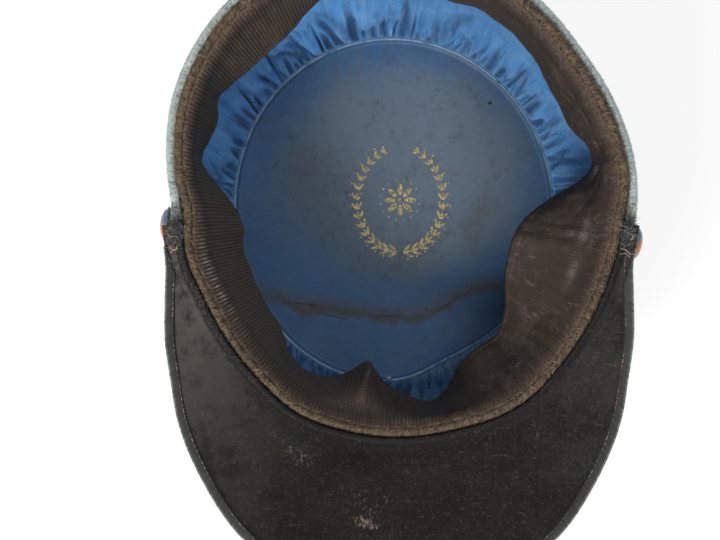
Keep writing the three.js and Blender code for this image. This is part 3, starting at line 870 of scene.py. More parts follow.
def hair(tree, given):
    """A thin fibre one unit long, three-sided, that bends up at its far end."""
    aside = 0.15 * MM
    far = combined(tree, 0.5, -aside, given["Rise"])
    path = bent_path(tree, 3, (-0.5, 0, 0), (0.1, aside, 0), far)
    return thread_round(tree, path, given["Thread"], 3)


straight_row = row_tree("straight_stitch_row", ["Rise", "Thread"], straight_stitch)
round_row = row_tree("round_stitch_row", ["Reach", "Start", "Sweep", "Thread"], round_stitch)
hair_row = row_tree("hair_row", ["Rise", "Thread"], hair)


def outward(bearing, yaw=0.0):
    """The level direction away from the cap's middle, turned aside by a yaw in degrees."""
    angle = np.radians(bearing + yaw)
    return np.stack([np.sin(angle), np.cos(angle), 0 * angle], axis=-1)


sewing_thread, tree, shader = new_material("waxed_brown_thread", 0.7)
twist = noise(tree, own_place(tree), 2500.0, 3.0, 0.7)
shade = maths(tree, "ADD", times(tree, own_value(tree, "shade"), 0.7), times(tree, twist, 0.3))
paint(tree, shader, ramp(tree, shade, [(0.2, thread_dark), (0.5, thread_brown), (0.8, thread_waxed)]))
bump(tree, shader, twist, 0.1 * MM, 0.6)

whip_pitch = 0.9 * MM
whip_reach = bead_radius + 0.06 * MM
whip_thread = 0.1 * MM
mean_rim_ring = 90.0 * MM
overcast_pitch = 2.2 * MM
overcast_reach = 1.36 * MM
overcast_thread = 0.12 * MM
long_stitch_pitch = overcast_pitch * 1.9
long_stitch_thread = 0.09 * MM


def stitches_over(name, spots, ways, sizes, reach, arc, thread, seed):
    """A row of stitches that go over an edge, each on an arc from a start through a sweep in degrees."""
    upright = np.tile([0, 0, 1], (len(spots), 1))
    sizing = {"Reach": reach, "Start": math.radians(arc[0]), "Sweep": math.radians(arc[1]), "Thread": thread}
    row = set_in_rows(name, round_row, spots, ways, upright, sizes, sizing, sewing_thread, seed)
    finish_piece(row, "thread")


rng = np.random.default_rng(5)
total = round(2 * math.pi * mean_bead_ring / whip_pitch)
at = (np.arange(total) + rng.uniform(-0.25, 0.25, total)) * 360 / total
spots = points_round(at, *bead_middle(at))
ways = outward(at, rng.uniform(-35, 66, total))
sizes = rng.uniform(0.9, 1.25, total)
stitches_over("bead_whipping", spots, ways, sizes, whip_reach, (15, 150), whip_thread, 6)


def overcast_rim(name, pitch, arc, thread, seed):
    """Stitches over the rim's cloth, uneven in their places and their slant, with none along the visor."""
    rng = np.random.default_rng(seed)
    total = round(2 * math.pi * mean_rim_ring / pitch)
    at = (np.arange(total) + rng.uniform(-0.35, 0.35, total)) * 360 / total
    at = at[turn_from_front(at) > visor_corner + 2]
    spots = points_round(at, rim_radius(at) - band_wall / 2, rim_height(at) - rim_crown)
    spots[:, 2] += rng.uniform(-0.12, 0.04, len(at)) * MM
    ways = outward(at, rng.uniform(-26, 32, len(at)))
    sizes = rng.uniform(1.05, 1.22, len(at))
    stitches_over(name, spots, ways, sizes, overcast_reach, arc, thread, seed)


overcast_rim("rim_overcasting", overcast_pitch, (80, 100), overcast_thread, 8)
overcast_rim("rim_overcasting_long", long_stitch_pitch, (42, 138), long_stitch_thread, 9)

# The nap of the wool and the loose fibres of the bead.
# The rim's cloth is milled wool with a short pale nap, worn through to yellow-brown where the stitches
# cross it. The bead's thread and leather have gone to fibres that lie over both their neighbours.
wool_hair_total = 9000
bead_hair_total = 4200
rim_fray_total = 2200
nap_radius = 0.04 * MM
bead_hair_radius = 0.07 * MM
rim_fray_radius = 0.06 * MM
hair_lift = 0.25 * MM
rim_fray_lift = 0.2 * MM
wool_brightest = (0.6, 0.68, 0.66)
yellow_brown = (0.26, 0.2, 0.11)


def unit(ways):
    return ways / np.linalg.norm(ways, axis=-1, keepdims=True)


def round_section(at, middle, height, half_across, half_up, angle):
    """Points on a rounded edge carried round the cap, and the way each one faces."""
    spots = points_round(at, middle + half_across * np.cos(angle), height + half_up * np.sin(angle))
    facing = outward(at) * np.cos(angle)[:, None] + np.array([0, 0, 1.0]) * np.sin(angle)[:, None]
    return spots, facing


def rim_edge(at, angle):
    height = rim_height(at) - rim_crown
    return round_section(at, rim_radius(at) - band_wall / 2, height, band_wall / 2, rim_crown, angle)


def strewn_hairs(name, surface, ways, lengths, thread, rise_up, material, seed, slot="thread"):
    """Fibres at the spots of a surface that lie along their ways, lifted a little off it."""
    spots, facing = surface
    ways = unit(ways - facing * np.einsum("ij,ij->i", ways, facing)[:, None] * 0.75)
    upright = unit(facing - ways * np.einsum("ij,ij->i", ways, facing)[:, None])
    sizing = {"Rise": rise_up, "Thread": thread}
    hairs = set_in_rows(name, hair_row, spots, ways, upright, lengths, sizing, material, seed)
    finish_piece(hairs, slot)


def thread_ways(at, rng, yaw, spread):
    """Level ways outward, turned aside by a yaw with its spread in degrees, and a little uneven."""
    return outward(at, rng.normal(yaw, spread, len(at))) + rng.normal(0, 0.2, (len(at), 3))


def shaded_fibre(name, roughness, stops):
    """A fibre's material, its colour picked by each fibre's own shade."""
    material, tree, shader = new_material(name, roughness)
    paint(tree, shader, ramp(tree, own_value(tree, "shade"), stops))
    return material


stops = [(0.0, wool_dark), (0.25, wool_mid), (0.6, wool_pale), (1.0, wool_brightest)]
wool_fibre = shaded_fibre("wool_nap_fibre", 0.9, stops)
rng = np.random.default_rng(14)
at = rng.uniform(0, 360, wool_hair_total * 2)
at = at[turn_from_front(at) > visor_corner + 1][:wool_hair_total]
surface = rim_edge(at, np.radians(rng.uniform(-50, 165, len(at))))
ways = rng.normal(0, 1, (len(at), 3)) + surface[1] * 0.25
lengths = rng.uniform(0.6, 2.0, len(at)) * MM
strewn_hairs("wool_nap", surface, ways, lengths, nap_radius, hair_lift, wool_fibre, 15, "cloth")

stops = [(0.0, thread_dark), (0.35, thread_dark), (0.6, thread_brown), (0.88, thread_tan)]
frayed_thread = shaded_fibre("frayed_thread_fibre", 0.85, stops + [(1.0, yellow_brown)])
at = rng.uniform(0, 360, bead_hair_total)
angle = np.radians(rng.uniform(0, 165, len(at)))
surface = round_section(at, *bead_middle(at), bead_radius * 1.12, bead_radius, angle)
ways = thread_ways(at, rng, 40, 32)
lengths = rng.uniform(0.8, 3.0, len(at)) * MM
strewn_hairs("bead_fibres", surface, ways, lengths, bead_hair_radius, hair_lift, frayed_thread, 16)

stops = [(0.0, (0.11, 0.08, 0.05)), (0.4, (0.26, 0.2, 0.12)), (1.0, (0.5, 0.45, 0.34))]
rim_fray_thread = shaded_fibre("yellow_brown_rim_fibre", 0.85, stops)
at = rng.uniform(0, 360, rim_fray_total)
at = at[turn_from_front(at) > visor_corner + 1]
surface = rim_edge(at, np.radians(rng.triangular(85, 160, 165, len(at))))
ways = thread_ways(at, rng, 5, 25)
lengths = rng.uniform(0.8, 2.2, len(at)) * MM
strewn_hairs("rim_fibres", surface, ways, lengths, rim_fray_radius, rim_fray_lift, rim_fray_thread, 17)

# The side of the satin lining.
# A strip of blue satin, gathered by hand into uneven pleats where it is sewn to the disc, and tucked up
# behind the sweatband. It puffs out over the seam and lies against the cloth above.
disc_seam_room = 3.0 * MM
satin_wall = 0.9 * MM
disc_wall = 1.0 * MM
rolled_seam_width = 1.5 * MM
rolled_seam_height = 1.0 * MM
lining_tuck = 12.0 * MM
pleat_total = 122
pleat_depth = 3.6 * MM
fold_total = 34
fold_depth = 2.2 * MM
puff_depth = 3.2 * MM
disc_low = crown_top_wall + seam_gap
disc_face = disc_low + disc_wall
lining_low = disc_face + 0.75 * MM

# Bearing, and the disc's radius there as a share of the crown's oval inside the wall.
disc_shape = [
    (0, 1.035), (60, 1.015), (100, 1.01), (136, 0.955), (160, 0.935), (180, 1.0), (205, 1.02),
    (237, 1.015), (278, 1.03), (308, 1.045), (330, 1.045),
]
# Bearing, and the painted light and shade on the satin there: brighter at the left and the back, darker at
# the front.
satin_painted_light = [
    (0, 1.0), (40, 0.9), (90, 0.95), (135, 0.7), (160, 0.5), (190, 0.45), (215, 0.7), (250, 1.1),
    (275, 1.2), (300, 1.4), (330, 1.35),
]
# Share of the lining's height, and how far it has left the seam for the wall.
lining_course = [(0, 0), (0.03, 0.5), (0.08, 0.9), (0.2, 1), (1, 1)]


def disc_radius(bearing):
    inside = crown_radius(bearing) - crown_side_wall - disc_seam_room
    return inside * follow(disc_shape, bearing, 360)


def pleat_field(seed, total, bearing, up, shortest, longest, lean_spread):
    """Up to 1 on each pleat's floor and 0 on the ridges between. Pleats start at the seam and lean."""
    rng = np.random.default_rng(seed)
    step = rng.uniform(0.45, 1.6, total)
    step = step * 360 / step.sum()
    starts = np.cumsum(step)
    middles = starts - step / 2
    lean = rng.normal(0, lean_spread, total) + lean_spread * np.sin(np.radians(middles * 3))
    length = rng.uniform(shortest, longest, total) * MM
    depth = rng.uniform(0.6, 1.0, total)
    floor = 0 * up
    for k in range(total):
        share = np.clip(up / length[k], 0, 1)
        turned = middles[k] + lean[k] * up / MM
        across = np.abs(np.mod(bearing - turned + 180, 360) - 180) / (step[k] / 2)
        along = fade(up, 0, 1.6 * MM) * (1 - fade(share, 0.45, 1.0))
        floor = np.maximum(floor, depth[k] * along * np.clip(1 - across**1.7 * (1 + 0.8 * share), 0, 1))
    return floor


lining_bearings = np.arange(0, 360, 0.25)
lining_rises = np.concatenate([
    np.linspace(0, 0.1, 12), np.linspace(0.115, 0.42, 17), np.linspace(0.48, 1, 7),
])
puff_waves = soft_waves(35, 10, 6, 34)
crush_waves = soft_waves(36, 18, 20, 120)


def lining_sections():
    """The gathered face from the seam up, then the plain back of the cloth down again."""
    at = lining_bearings[:, None]
    share = lining_rises[None, :]
    high = (rim_height(lining_bearings) - lining_tuck)[:, None]
    height = lining_low + (high - lining_low) * share
    seam = (disc_radius(lining_bearings) - 0.15 * MM)[:, None]
    wall = np.maximum(wall_radius(at, height) - band_wall - seam_gap, seam + 0.8 * MM)
    to_wall = follow(lining_course, share)
    up = height - lining_low
    pleated = pleat_field(31, pleat_total, at, up, 10, 42, 0.1)
    folded = pleat_field(32, fold_total, at, up, 30, 70, 0.2) ** 3
    puff = fade(up, 0, 4 * MM) * (1 - 0.8 * fade(up, 15 * MM, 46 * MM))
    swell = puff_depth * puff * (1 + 0.45 * puff_waves(at, up))
    crush = 0.3 * MM * crush_waves(at, up) * fade(up, 1 * MM, 6 * MM)
    room = (wall - seam) * to_wall
    lift = np.clip(swell - pleat_depth * pleated - fold_depth * folded + crush, 0, room * 0.92)
    creased = np.maximum(pleated, 0.8 * folded * fade(up, 0, 8 * MM))
    face = pair(seam + room - lift, height)
    sewn = pair(seam - 0.2 * MM + 0 * high, disc_low + 0.3 * MM + 0 * high)
    back_rises = [0, 7, 11, 18, 24, 29, len(lining_rises) - 1]
    back = pair(seam + room + satin_wall * 0.9, height)[:, back_rises[::-1]]
    foot = pair(seam + satin_wall * 0.6 + 0 * high, disc_low + 0.3 * MM + 0 * high)
    return np.concatenate([sewn, face, back, foot], axis=1), creased


sections, creased = lining_sections()
satin_deep = (0.045, 0.165, 0.4)
satin_blue = (0.075, 0.235, 0.5)
satin_faded_and_highlight = (0.19, 0.34, 0.54)
satin_shadow = (0.009, 0.034, 0.092)
satin_wrinkle_shade = (0.012, 0.04, 0.1)
satin_dirt = (0.12, 0.15, 0.19)
satin_settings = {"Sheen Weight": 0.3, "Sheen Roughness": 0.35, "Sheen Tint": (0.5, 0.7, 1.0, 1.0)}
satin, tree, shader = new_material("gathered_blue_satin", 0.38, satin_settings)
lining_side = carry_sections("gathered_satin_side", lining_bearings, sections, satin)
for label, values in (("up", lining_rises), ("crease", creased)):
    whole = np.zeros(sections.shape[:2])
    whole[:, 1 : 1 + len(lining_rises)] = values
    store(lining_side, label, whole)
# Painted light and shade on the lining, by bearing.
store(lining_side, "painted_light", np.repeat(follow(satin_painted_light, lining_bearings, 360), sections.shape[1]))
metres = own_place(tree)
weave = noise(tree, own_course(tree, (5200.0, 900.0, 1.0)), 1.0, 2.0, 0.6)
soiled = noise(tree, metres, 70.0, 5.0, 0.65)
crumple = noise(tree, metres, 120.0, 5.0, 0.55, 0.9)
colour = ramp(tree, soiled, [(0.3, satin_deep), (0.5, satin_blue), (0.75, satin_faded_and_highlight)])
colour = mix(tree, 0.45, colour, satin_blue)
crease = own_value(tree, "crease")
up = own_value(tree, "up")
# Painted highlight on the ridges between the pleats, near the seam.
ridge_highlight = times(tree, rise(tree, crease, 0.12, 0.0), rise(tree, up, 0.14, 0.03), 0.7)
colour = mix(tree, ridge_highlight, colour, satin_faded_and_highlight)
colour = mix(tree, times(tree, rise(tree, crease, 0.08, 0.95), 0.86), colour, satin_shadow)
gathers = noise(tree, own_course(tree, (420.0, 55.0, 1.0)), 1.0, 4.0, 0.6, 0.5)
gathered = rise(tree, up, 0.6, 0.1)
# Fine wrinkles near the seam, drawn in colour: painted shade on one side of each and painted light on the
# other.
colour = mix(tree, times(tree, rise(tree, gathers, 0.5, 0.66), gathered, 0.55), colour, satin_wrinkle_shade)
colour = mix(tree, times(tree, rise(tree, gathers, 0.44, 0.32), gathered, 0.3), colour, satin_faded_and_highlight)
seam_dirt = times(tree, rise(tree, up, 0.03, 0.0), rise(tree, soiled, 0.35, 0.6), 0.5)
paint(tree, shader, with_painted_light(tree, mix(tree, seam_dirt, colour, satin_dirt)))
under = bump(tree, shader, crumple, 1.6 * MM, 0.6)
under = bump(tree, shader, gathers, -1.2 * MM, 0.6, under)
bump(tree, shader, weave, 0.05 * MM, 0.4, under)
finish_piece(lining_side, "satin", "lining_side")

# The satin disc in the crown.
# The same blue satin stretched flat, soiled grey-brown in the middle, with a rolled and pinched seam
# round it, a tide line of dirt along a crease across its front, and a few moth holes.
disc_bearings = np.arange(0, 360, 1.0)
disc_shares = np.concatenate([np.linspace(0.03, 0.9, 66), np.linspace(0.91, 0.975, 8)])
# Where the tide line runs: across to the right and along to the back from the disc's middle, in
# millimetres, and how dark it is there.
tide_line = [
    (-66, -37.0, 0.0), (-58, -36.0, 0.35), (-50, -37.5, 0.6), (-42, -42.0, 1.0), (-30, -42.5, 0.9),
    (-14, -44.5, 0.8), (-2, -46.0, 0.9), (12, -45.5, 0.8), (20, -42.0, 0.75), (27, -37.0, 0.7),
    (36, -33.5, 0.7), (44, -32.0, 0.55), (50, -31.0, 0.0),
]
# Holes and thin dark creases, painted near-black as painted shade: across, along, half length and half
# width in millimetres, turn and strength.
disc_holes = [
    (40.8, 46.8, 0.8, 0.65, 0, 1.0), (-36.0, -39.8, 0.9, 0.5, 20, 0.8), (13.5, -41.6, 0.6, 0.5, 0, 0.8),
    (-24.0, -47.3, 0.5, 0.4, 0, 0.6), (20, -19, 0.4, 0.4, 0, 0.5), (-3.0, -44.5, 5.0, 0.35, 4, 0.6),
    (-38.0, -39.5, 8.0, 0.3, -6, 0.8), (-27.0, -44.5, 7.0, 0.35, -14, 0.7), (24.0, -38.5, 5.0, 0.35, 35, 0.6),
]
# The tide line's dirt is worked out over this width, and is this ragged, both in millimetres.
tide_reach = 20.0
tide_raggedness = 9.0
disc_waves = soft_waves(41, 7, 2, 7)


def disc_height(across, along):
    """The disc's upper face: soft hollows, and a shallow crease under the tide line."""
    bearing = np.degrees(np.arctan2(across, along))
    reach = np.hypot(across, along)
    share = reach / disc_radius(bearing)
    height = disc_face + 0.25 * MM * disc_waves(bearing, reach) * fade(share, 0.1, 0.6)
    line, dark = tide_at(across)
    away = (along - line) / MM
    sunk = 0.16 * MM * dark * np.exp(-((away / 1.1) ** 2))
    raised = 0.14 * MM * dark * np.exp(-(((away + 3.2) / 3.0) ** 2))
    return height - sunk + raised


def tide_at(across):
    line = follow([(row[0], row[1]) for row in tide_line], across / MM) * MM
    dark = follow([(row[0], row[2]) for row in tide_line], across / MM)
    return line + 0.5 * MM * np.sin(across / MM * 0.6) * np.sin(across / MM * 0.23 + 1), np.clip(dark, 0, 1)


def satin_disc():
    """The disc from its middle out, over the rolled seam, and flat underneath."""
    bearing = disc_bearings[:, None]
    angle = np.radians(bearing)
    edge = disc_radius(bearing)
    radius = edge * disc_shares[None, :] - rolled_seam_width * fade(disc_shares, 0.8, 1)[None, :]
    height = disc_height(radius * np.sin(angle), radius * np.cos(angle))
    turn = np.radians(np.linspace(180, -10, 10))[None, :]
    pinch = 1 + 0.16 * np.sin(angle * 150) + 0.1 * np.sin(angle * 67 + 1)
    half = rolled_seam_width / 2
    seam_radius = edge - half + half * np.cos(turn)
    seam_height = disc_face + rolled_seam_height * (0.08 + 0.85 * pinch * np.sin(turn))
    foot_radius = edge * np.array([[1.0, 0.97, 0.5]])
    radius = np.concatenate([radius, seam_radius, foot_radius], axis=1)
    height = np.concatenate([height, seam_height, disc_low + 0 * foot_radius], axis=1)
    middle_height = float(disc_height(np.array(0.0), np.array(0.0)))
    rows = points_round(bearing, radius, height)[:, ::-1]
    return capped_skin(rows, (0, 0, disc_low), (0, 0, middle_height))


points, faces = satin_disc()
disc_satin, tree, shader = new_material("soiled_satin_disc", 0.42, {"Specular IOR Level": 0.3})
lining_top = add_object("satin_disc", points, faces, disc_satin)
across, along = points[:, 0], points[:, 1]
tide, tide_dark = tide_at(across)
away = (along - tide) / MM
inside = np.hypot(across, along) / disc_radius(np.degrees(np.arctan2(across, along)))
from_stain = np.hypot((across / MM - 4) / 62, (along / MM - 16) / 56)
store(lining_top, "stain", (1 - fade(from_stain, 0.5, 1.2)) * fade(away, 0, 24))
store(lining_top, "tide_away", np.clip(away / tide_reach + 0.5, 0, 1))
store(lining_top, "tide_dark", tide_dark)
store(lining_top, "inside", inside)
# Painted shade: the disc's colour is scaled darker towards its right side.
store(lining_top, "painted_light", 1 - 0.4 * fade(across, 10 * MM, 66 * MM))
disc_blue = (0.024, 0.092, 0.205)
disc_grey = (0.094, 0.13, 0.17)
disc_brown = (0.075, 0.07, 0.066)
disc_dark = (0.028, 0.036, 0.046)
disc_pale = (0.09, 0.14, 0.2)
disc_dust = (0.03, 0.034, 0.04)
disc_thread = (0.12, 0.15, 0.18)
disc_hole_shade = (0.006, 0.006, 0.007)
tide_brown = (0.03, 0.026, 0.02)
tide_faint = (0.056, 0.046, 0.036)
seam_pale = (0.24, 0.36, 0.48)
metres = own_place(tree)
soiled = noise(tree, metres, 45.0, 6.0, 0.7, 0.4)
dust = noise(tree, metres, 420.0, 6.0, 0.8)
warp = noise(tree, own_place(tree, (2600, 160, 100)), 1.0, 3.0, 0.7)
weft = noise(tree, own_place(tree, (160, 2600, 100)), 1.0, 3.0, 0.7)
weave = maths(tree, "ADD", warp, weft)
mottled = noise(tree, metres, 150.0, 7.0, 0.78, 0.3)
ragged = noise(tree, metres, 160.0, 6.0, 0.75, 0.6)
stain_edge = maths(tree, "SUBTRACT", soiled, 0.5)
stained = rise(tree, maths(tree, "ADD", own_value(tree, "stain"), stain_edge), 0.05, 0.95)
colour = mix(tree, stained, disc_blue, disc_grey)
colour = mix(tree, times(tree, stained, rise(tree, soiled, 0.5, 0.74), 0.6), colour, disc_brown)
colour = mix(tree, times(tree, rise(tree, mottled, 0.5, 0.7), 0.4), colour, disc_dark)
colour = mix(tree, times(tree, rise(tree, mottled, 0.48, 0.32), 0.35), colour, disc_pale)
away = times(tree, maths(tree, "SUBTRACT", own_value(tree, "tide_away"), 0.5), tide_reach)
away = maths(tree, "ADD", away, times(tree, maths(tree, "SUBTRACT", ragged, 0.5), tide_raggedness))
dark = own_value(tree, "tide_dark")
near = times(tree, rise(tree, maths(tree, "ABSOLUTE", away), 3.4, 0.2), dark, 0.8)
colour = mix(tree, near, colour, tide_brown)
behind = times(tree, rise(tree, away, -2.0, 1.0), rise(tree, away, 9.5, 1.5), dark, 0.7)
colour = mix(tree, behind, colour, tide_faint)
colour = mix(tree, times(tree, rise(tree, dust, 0.54, 0.72), 0.5), colour, disc_dust)
colour = mix(tree, times(tree, rise(tree, weave, 1.08, 1.3), 0.3), colour, disc_thread)
colour = mix(tree, spot_mask(tree, disc_holes, soiled), colour, disc_hole_shade)
on_seam = rise(tree, own_value(tree, "inside"), 0.981, 0.988)
on_seam = times(tree, on_seam, rise(tree, ragged, 0.3, 0.55), 0.85)
paint(tree, shader, with_painted_light(tree, mix(tree, on_seam, colour, seam_pale)))
dullness = ramp(tree, stained, [(0.0, (0.5, 0.5, 0.5)), (1.0, (0.7, 0.7, 0.7))])
tree.links.new(dullness, shader.inputs["Roughness"])
under = bump(tree, shader, weave, 0.06 * MM, 0.7)
bump(tree, shader, soiled, 0.8 * MM, 0.25, under)
finish_piece(lining_top, "satin", "lining_top")

# The gilt ornament on the disc.
# A plain laurel wreath, open at the back, round an eight-petalled rosette, printed in gold on the satin
# and rubbed thin. Leaves, berries, petals and dots are set one by one along their curves.
ornament_across = 2.2 * MM
ornament_along = 5.2 * MM
wreath_half_width = 18.5 * MM
wreath_half_length = 22.5 * MM
wreath_opening = 26.0
leaf_lean = 34.0
berry_reach = 3.1 * MM
berry_size = 0.75 * MM
petal_reach = 4.4 * MM
petal_length = 5.2 * MM
dot_reach = 8.6 * MM
dot_size = 0.8 * MM
heart_size = 2.0 * MM
print_thickness = 0.12 * MM
print_lift = 0.05 * MM


def flat_leaf(tree, given):
    """A thin oval one unit long, closed on all sides."""
    inputs = {"Vertices": 12, "Radius": 0.5, "Depth": print_thickness}
    slab = add_node(tree, "GeometryNodeMeshCylinder", inputs).outputs[0]
    inputs = {"Geometry": slab, "Scale": combined(tree, 1.0, given["Slimness"], 1.0)}
    return add_node(tree, "GeometryNodeTransform", inputs).outputs[0]


gilt_bright = (0.5, 0.4, 0.16)
gilt_dull = (0.2, 0.165, 0.09)
gilt_lost = (0.06, 0.065, 0.06)
gilt, tree, shader = new_material("rubbed_gilt_print", 0.45, {"Metallic": 0.25})
rub = noise(tree, own_place(tree), 900.0, 5.0, 0.7)
paint(tree, shader, ramp(tree, rub, [(0.36, gilt_lost), (0.46, gilt_dull), (0.66, gilt_bright)]))
print_row = row_tree("print_row", ["Slimness"], flat_leaf, printed=True)


def print_on_disc(name, places, ways, sizes, slimness, seed):
    """Prints ovals on the disc's face at places from the ornament's middle, pointing along their ways."""
    across = ornament_across + places[:, 0]
    along = ornament_along + places[:, 1]
    spots = np.stack([across, along, disc_height(across, along) + print_lift], axis=-1)
    flat_ways = np.stack([ways[:, 0], ways[:, 1], 0 * ways[:, 0]], axis=-1)
    upright = np.tile([0, 0, 1], (len(spots), 1))
    sizing = {"Slimness": slimness}
    piece = set_in_rows(name, print_row, spots, flat_ways, upright, sizes, sizing, gilt, seed)
    finish_piece(piece, "gilt_print")


def turned(ways, degrees):
    angle = np.radians(degrees)
    cosine, sine = np.cos(angle), np.sin(angle)
    across = ways[:, 0] * cosine - ways[:, 1] * sine
    return pair(across, ways[:, 0] * sine + ways[:, 1] * cosine)


leaf_places, leaf_ways, leaf_sizes, berry_places = [], [], [], []
for side in (-1, 1):
    turns = np.linspace(180 - 4, wreath_opening, 15)
    angle = np.radians(turns) * side
    spots = pair(wreath_half_width * np.sin(angle), wreath_half_length * np.cos(angle))
    ways = unit(np.gradient(spots, axis=0))
    sizes = np.linspace(4.6, 3.0, len(turns)) * MM
    for lean_side in (-1, 1):
        leaf_ways.append(turned(ways, leaf_lean * lean_side))
        leaf_places.append(spots + leaf_ways[-1] * sizes[:, None] * 0.55)
        leaf_sizes.append(sizes)
    leaf_ways.append(ways)
    leaf_places.append(spots + ways * sizes[:, None] * 0.5)
    leaf_sizes.append(sizes * 0.8)
    between = (spots[1:] + spots[:-1]) / 2
    berry_places.append(between + unit(between) * berry_reach)
leaf_places, leaf_ways, leaf_sizes = (np.concatenate(part) for part in (leaf_places, leaf_ways, leaf_sizes))
print_on_disc("wreath_leaves", leaf_places, leaf_ways, leaf_sizes, 0.3, 51)
berry_places = np.concatenate(berry_places)
berry_sizes = np.full(len(berry_places), berry_size)
print_on_disc("wreath_berries", berry_places, berry_places, berry_sizes, 1.0, 52)
petal_ways = outward(np.arange(8) * 45.0)[:, :2]
print_on_disc("rosette_petals", petal_ways * petal_reach, petal_ways, np.full(8, petal_length), 0.42, 53)
dot_ways = outward(np.arange(16) * 22.5 + 11.25)[:, :2]
print_on_disc("rosette_dots", dot_ways * dot_reach, dot_ways, np.full(16, dot_size), 1.0, 54)
print_on_disc("rosette_heart", np.zeros((1, 2)), np.array([[1.0, 0.0]]), np.array([heart_size]), 1.0, 55)

# The visor.
# One plate of brown-black leather, finely grained, paler towards the left end with dust and painted light,
# and scuffed to tan, that slopes up from the rim. Its inner edge is turned down between band and
# sweatband, with a low lip along the fold.
visor_depth = 55.0 * MM
visor_wall = 2.2 * MM
visor_slope = math.radians(20.0)
visor_edge = 1.2 * MM
visor_lip_width = 2.8 * MM
visor_lip_rise = 0.12 * MM
flange_depth = 8.0 * MM
binding_width = 3.4 * MM
binding_wall = 0.45 * MM
binding_room = 0.15 * MM

# Turn from the front in degrees, and the visor's reach past the rim's plain oval as a share of its depth.
visor_outline = [
    (0, 1), (12, 0.965), (25, 0.833), (35.5, 0.647), (45.7, 0.464), (52.4, 0.333), (60, 0.222),
    (68, 0.111), (76.6, 0.035), (90, 0.03),
]


def visor_radius(bearing):
    reach = visor_depth * follow(visor_outline, turn_from_front(bearing))
    return np.maximum(rim_oval(bearing) + reach, rim_radius(bearing) + visor_edge)


def visor_face(bearing, radius):
    """The height of the visor's hidden lower face, which rises from the rim outwards."""
    past = np.maximum(radius - rim_radius(bearing), 0)
    return rim_height(bearing) + seam_gap + past * math.tan(visor_slope)


visor_bearings = np.arange(180 - visor_corner, 180 + visor_corner + 0.01, 0.5)
plate_shares = np.linspace(0, 1, 34)
visor_waves = soft_waves(61, 9, 4, 22)


def visor_sections():
    at = visor_bearings[:, None]
    rim = rim_radius(at)
    base = rim_height(at)
    edge = visor_radius(at)
    flange_out = rim - band_wall - seam_gap
    flange_in = flange_out - flange_wall
    flange_end = wall_radius(at, base - flange_depth) - band_wall - seam_gap
    plate_start = flange_in + visor_lip_width
    radius = plate_start + (edge - plate_start) * plate_shares
    inside_edges = fade(plate_shares, 0.05, 0.3) * (1 - fade(plate_shares, 0.85, 1))
    sag = 0.35 * MM * visor_waves(at, radius) * inside_edges
    plate = pair(radius, visor_face(at, radius) + visor_wall + sag)
    lip_turn = np.radians(np.linspace(175, 20, 8))[None, :]
    lip_radius = flange_in + visor_lip_width * 0.42 * (1 + np.cos(lip_turn))
    lip_height = base + visor_wall + (seam_gap + visor_lip_rise) * np.sin(lip_turn)
    lip = pair(lip_radius, lip_height)
    under_radius = edge + (rim - rim_crown - edge) * np.linspace(0, 1, 12)[None, :]
    under = pair(under_radius, visor_face(at, under_radius))
    flange = np.concatenate([
        pair(flange_out, base + seam_gap),
        pair(flange_end, base - flange_depth),
        pair(flange_end - flange_wall, base - flange_depth),
    ], axis=1)
    return np.concatenate([lip, plate, under, flange], axis=1)


sections = visor_sections()
visor_black = (0.0055, 0.005, 0.0047)
visor_brown = (0.014, 0.0115, 0.01)
visor_dust_and_light = (0.09, 0.081, 0.072)
visor_scuff = (0.17, 0.12, 0.085)
visor_scratch = (0.1, 0.088, 0.075)
visor_shadow = (0.004, 0.0037, 0.0035)
visor_leather, tree, shader = new_material("dark_visor_leather", 0.5, {"Specular IOR Level": 0.17})
visor = carry_sections("visor_plate", visor_bearings, sections, visor_leather, closed=False)
toward_end = fade(turn_from_front(visor_bearings), 15, 75) * np.where(visor_bearings > 180, 1.0, 0.2)
store(visor, "toward_end", np.repeat(toward_end, sections.shape[1]))
lip_share = np.zeros(sections.shape[1])
lip_share[:12] = [1, 1, 1, 1, 1, 1, 1, 1, 0.9, 0.7, 0.4, 0.15]
store(visor, "lip", np.tile(lip_share, len(visor_bearings)))
# Scuffs: across, along, half length and half width in millimetres, turn and strength.
scuffs = [
    (-13, -121.5, 7.0, 2.8, -12, 0.76), (-10.5, -117, 4.0, 2.2, -60, 0.58),
    (-5.5, -112.5, 3.0, 1.2, -70, 0.6), (-14, -114, 4.6, 3.4, 20, 0.52),
    (-39, -96, 10.0, 4.6, -25, 0.58), (-50, -88, 3.0, 0.8, 40, 0.4),
    (32, -96.5, 3.6, 0.8, -50, 0.66), (30.5, -87, 1.8, 1.2, 40, 0.66), (-60, -66, 3.0, 0.8, 60, 0.4),
    (-2, -90.5, 1.4, 0.4, 80, 0.7), (3.5, -91, 1.4, 0.4, 80, 0.6), (62, -62, 1.2, 0.5, 20, 0.6),
    (18, -99, 1.3, 0.5, 0, 0.5), (-30, -125, 2.4, 1.0, 0, 0.3), (-62, -92, 2.0, 0.6, 70, 0.4),
    (-57, -80, 7.0, 0.3, -50, 0.5), (60, -75, 6.0, 0.3, 65, 0.4), (48, -92, 5.0, 0.3, 20, 0.4),
    (-45, -108, 3.0, 0.5, -30, 0.4), (10, -108, 2.0, 0.4, 70, 0.35), (40, -110, 2.4, 0.5, 10, 0.35),
]
metres = own_place(tree)
grain = noise(tree, metres, 900.0, 7.0, 0.8)
patchy = noise(tree, metres, 60.0, 7.0, 0.75)
flecks = noise(tree, own_place(tree, (560, 300, 400)), 1.0, 5.0, 0.8)
lines = noise(tree, own_place(tree, (140, 1400, 100), (0, 0, 0.9)), 1.0, 3.0, 0.6, 0.6)
cross_lines = noise(tree, own_place(tree, (1500, 170, 100), (0, 0, -0.4)), 1.0, 3.0, 0.6, 0.6)
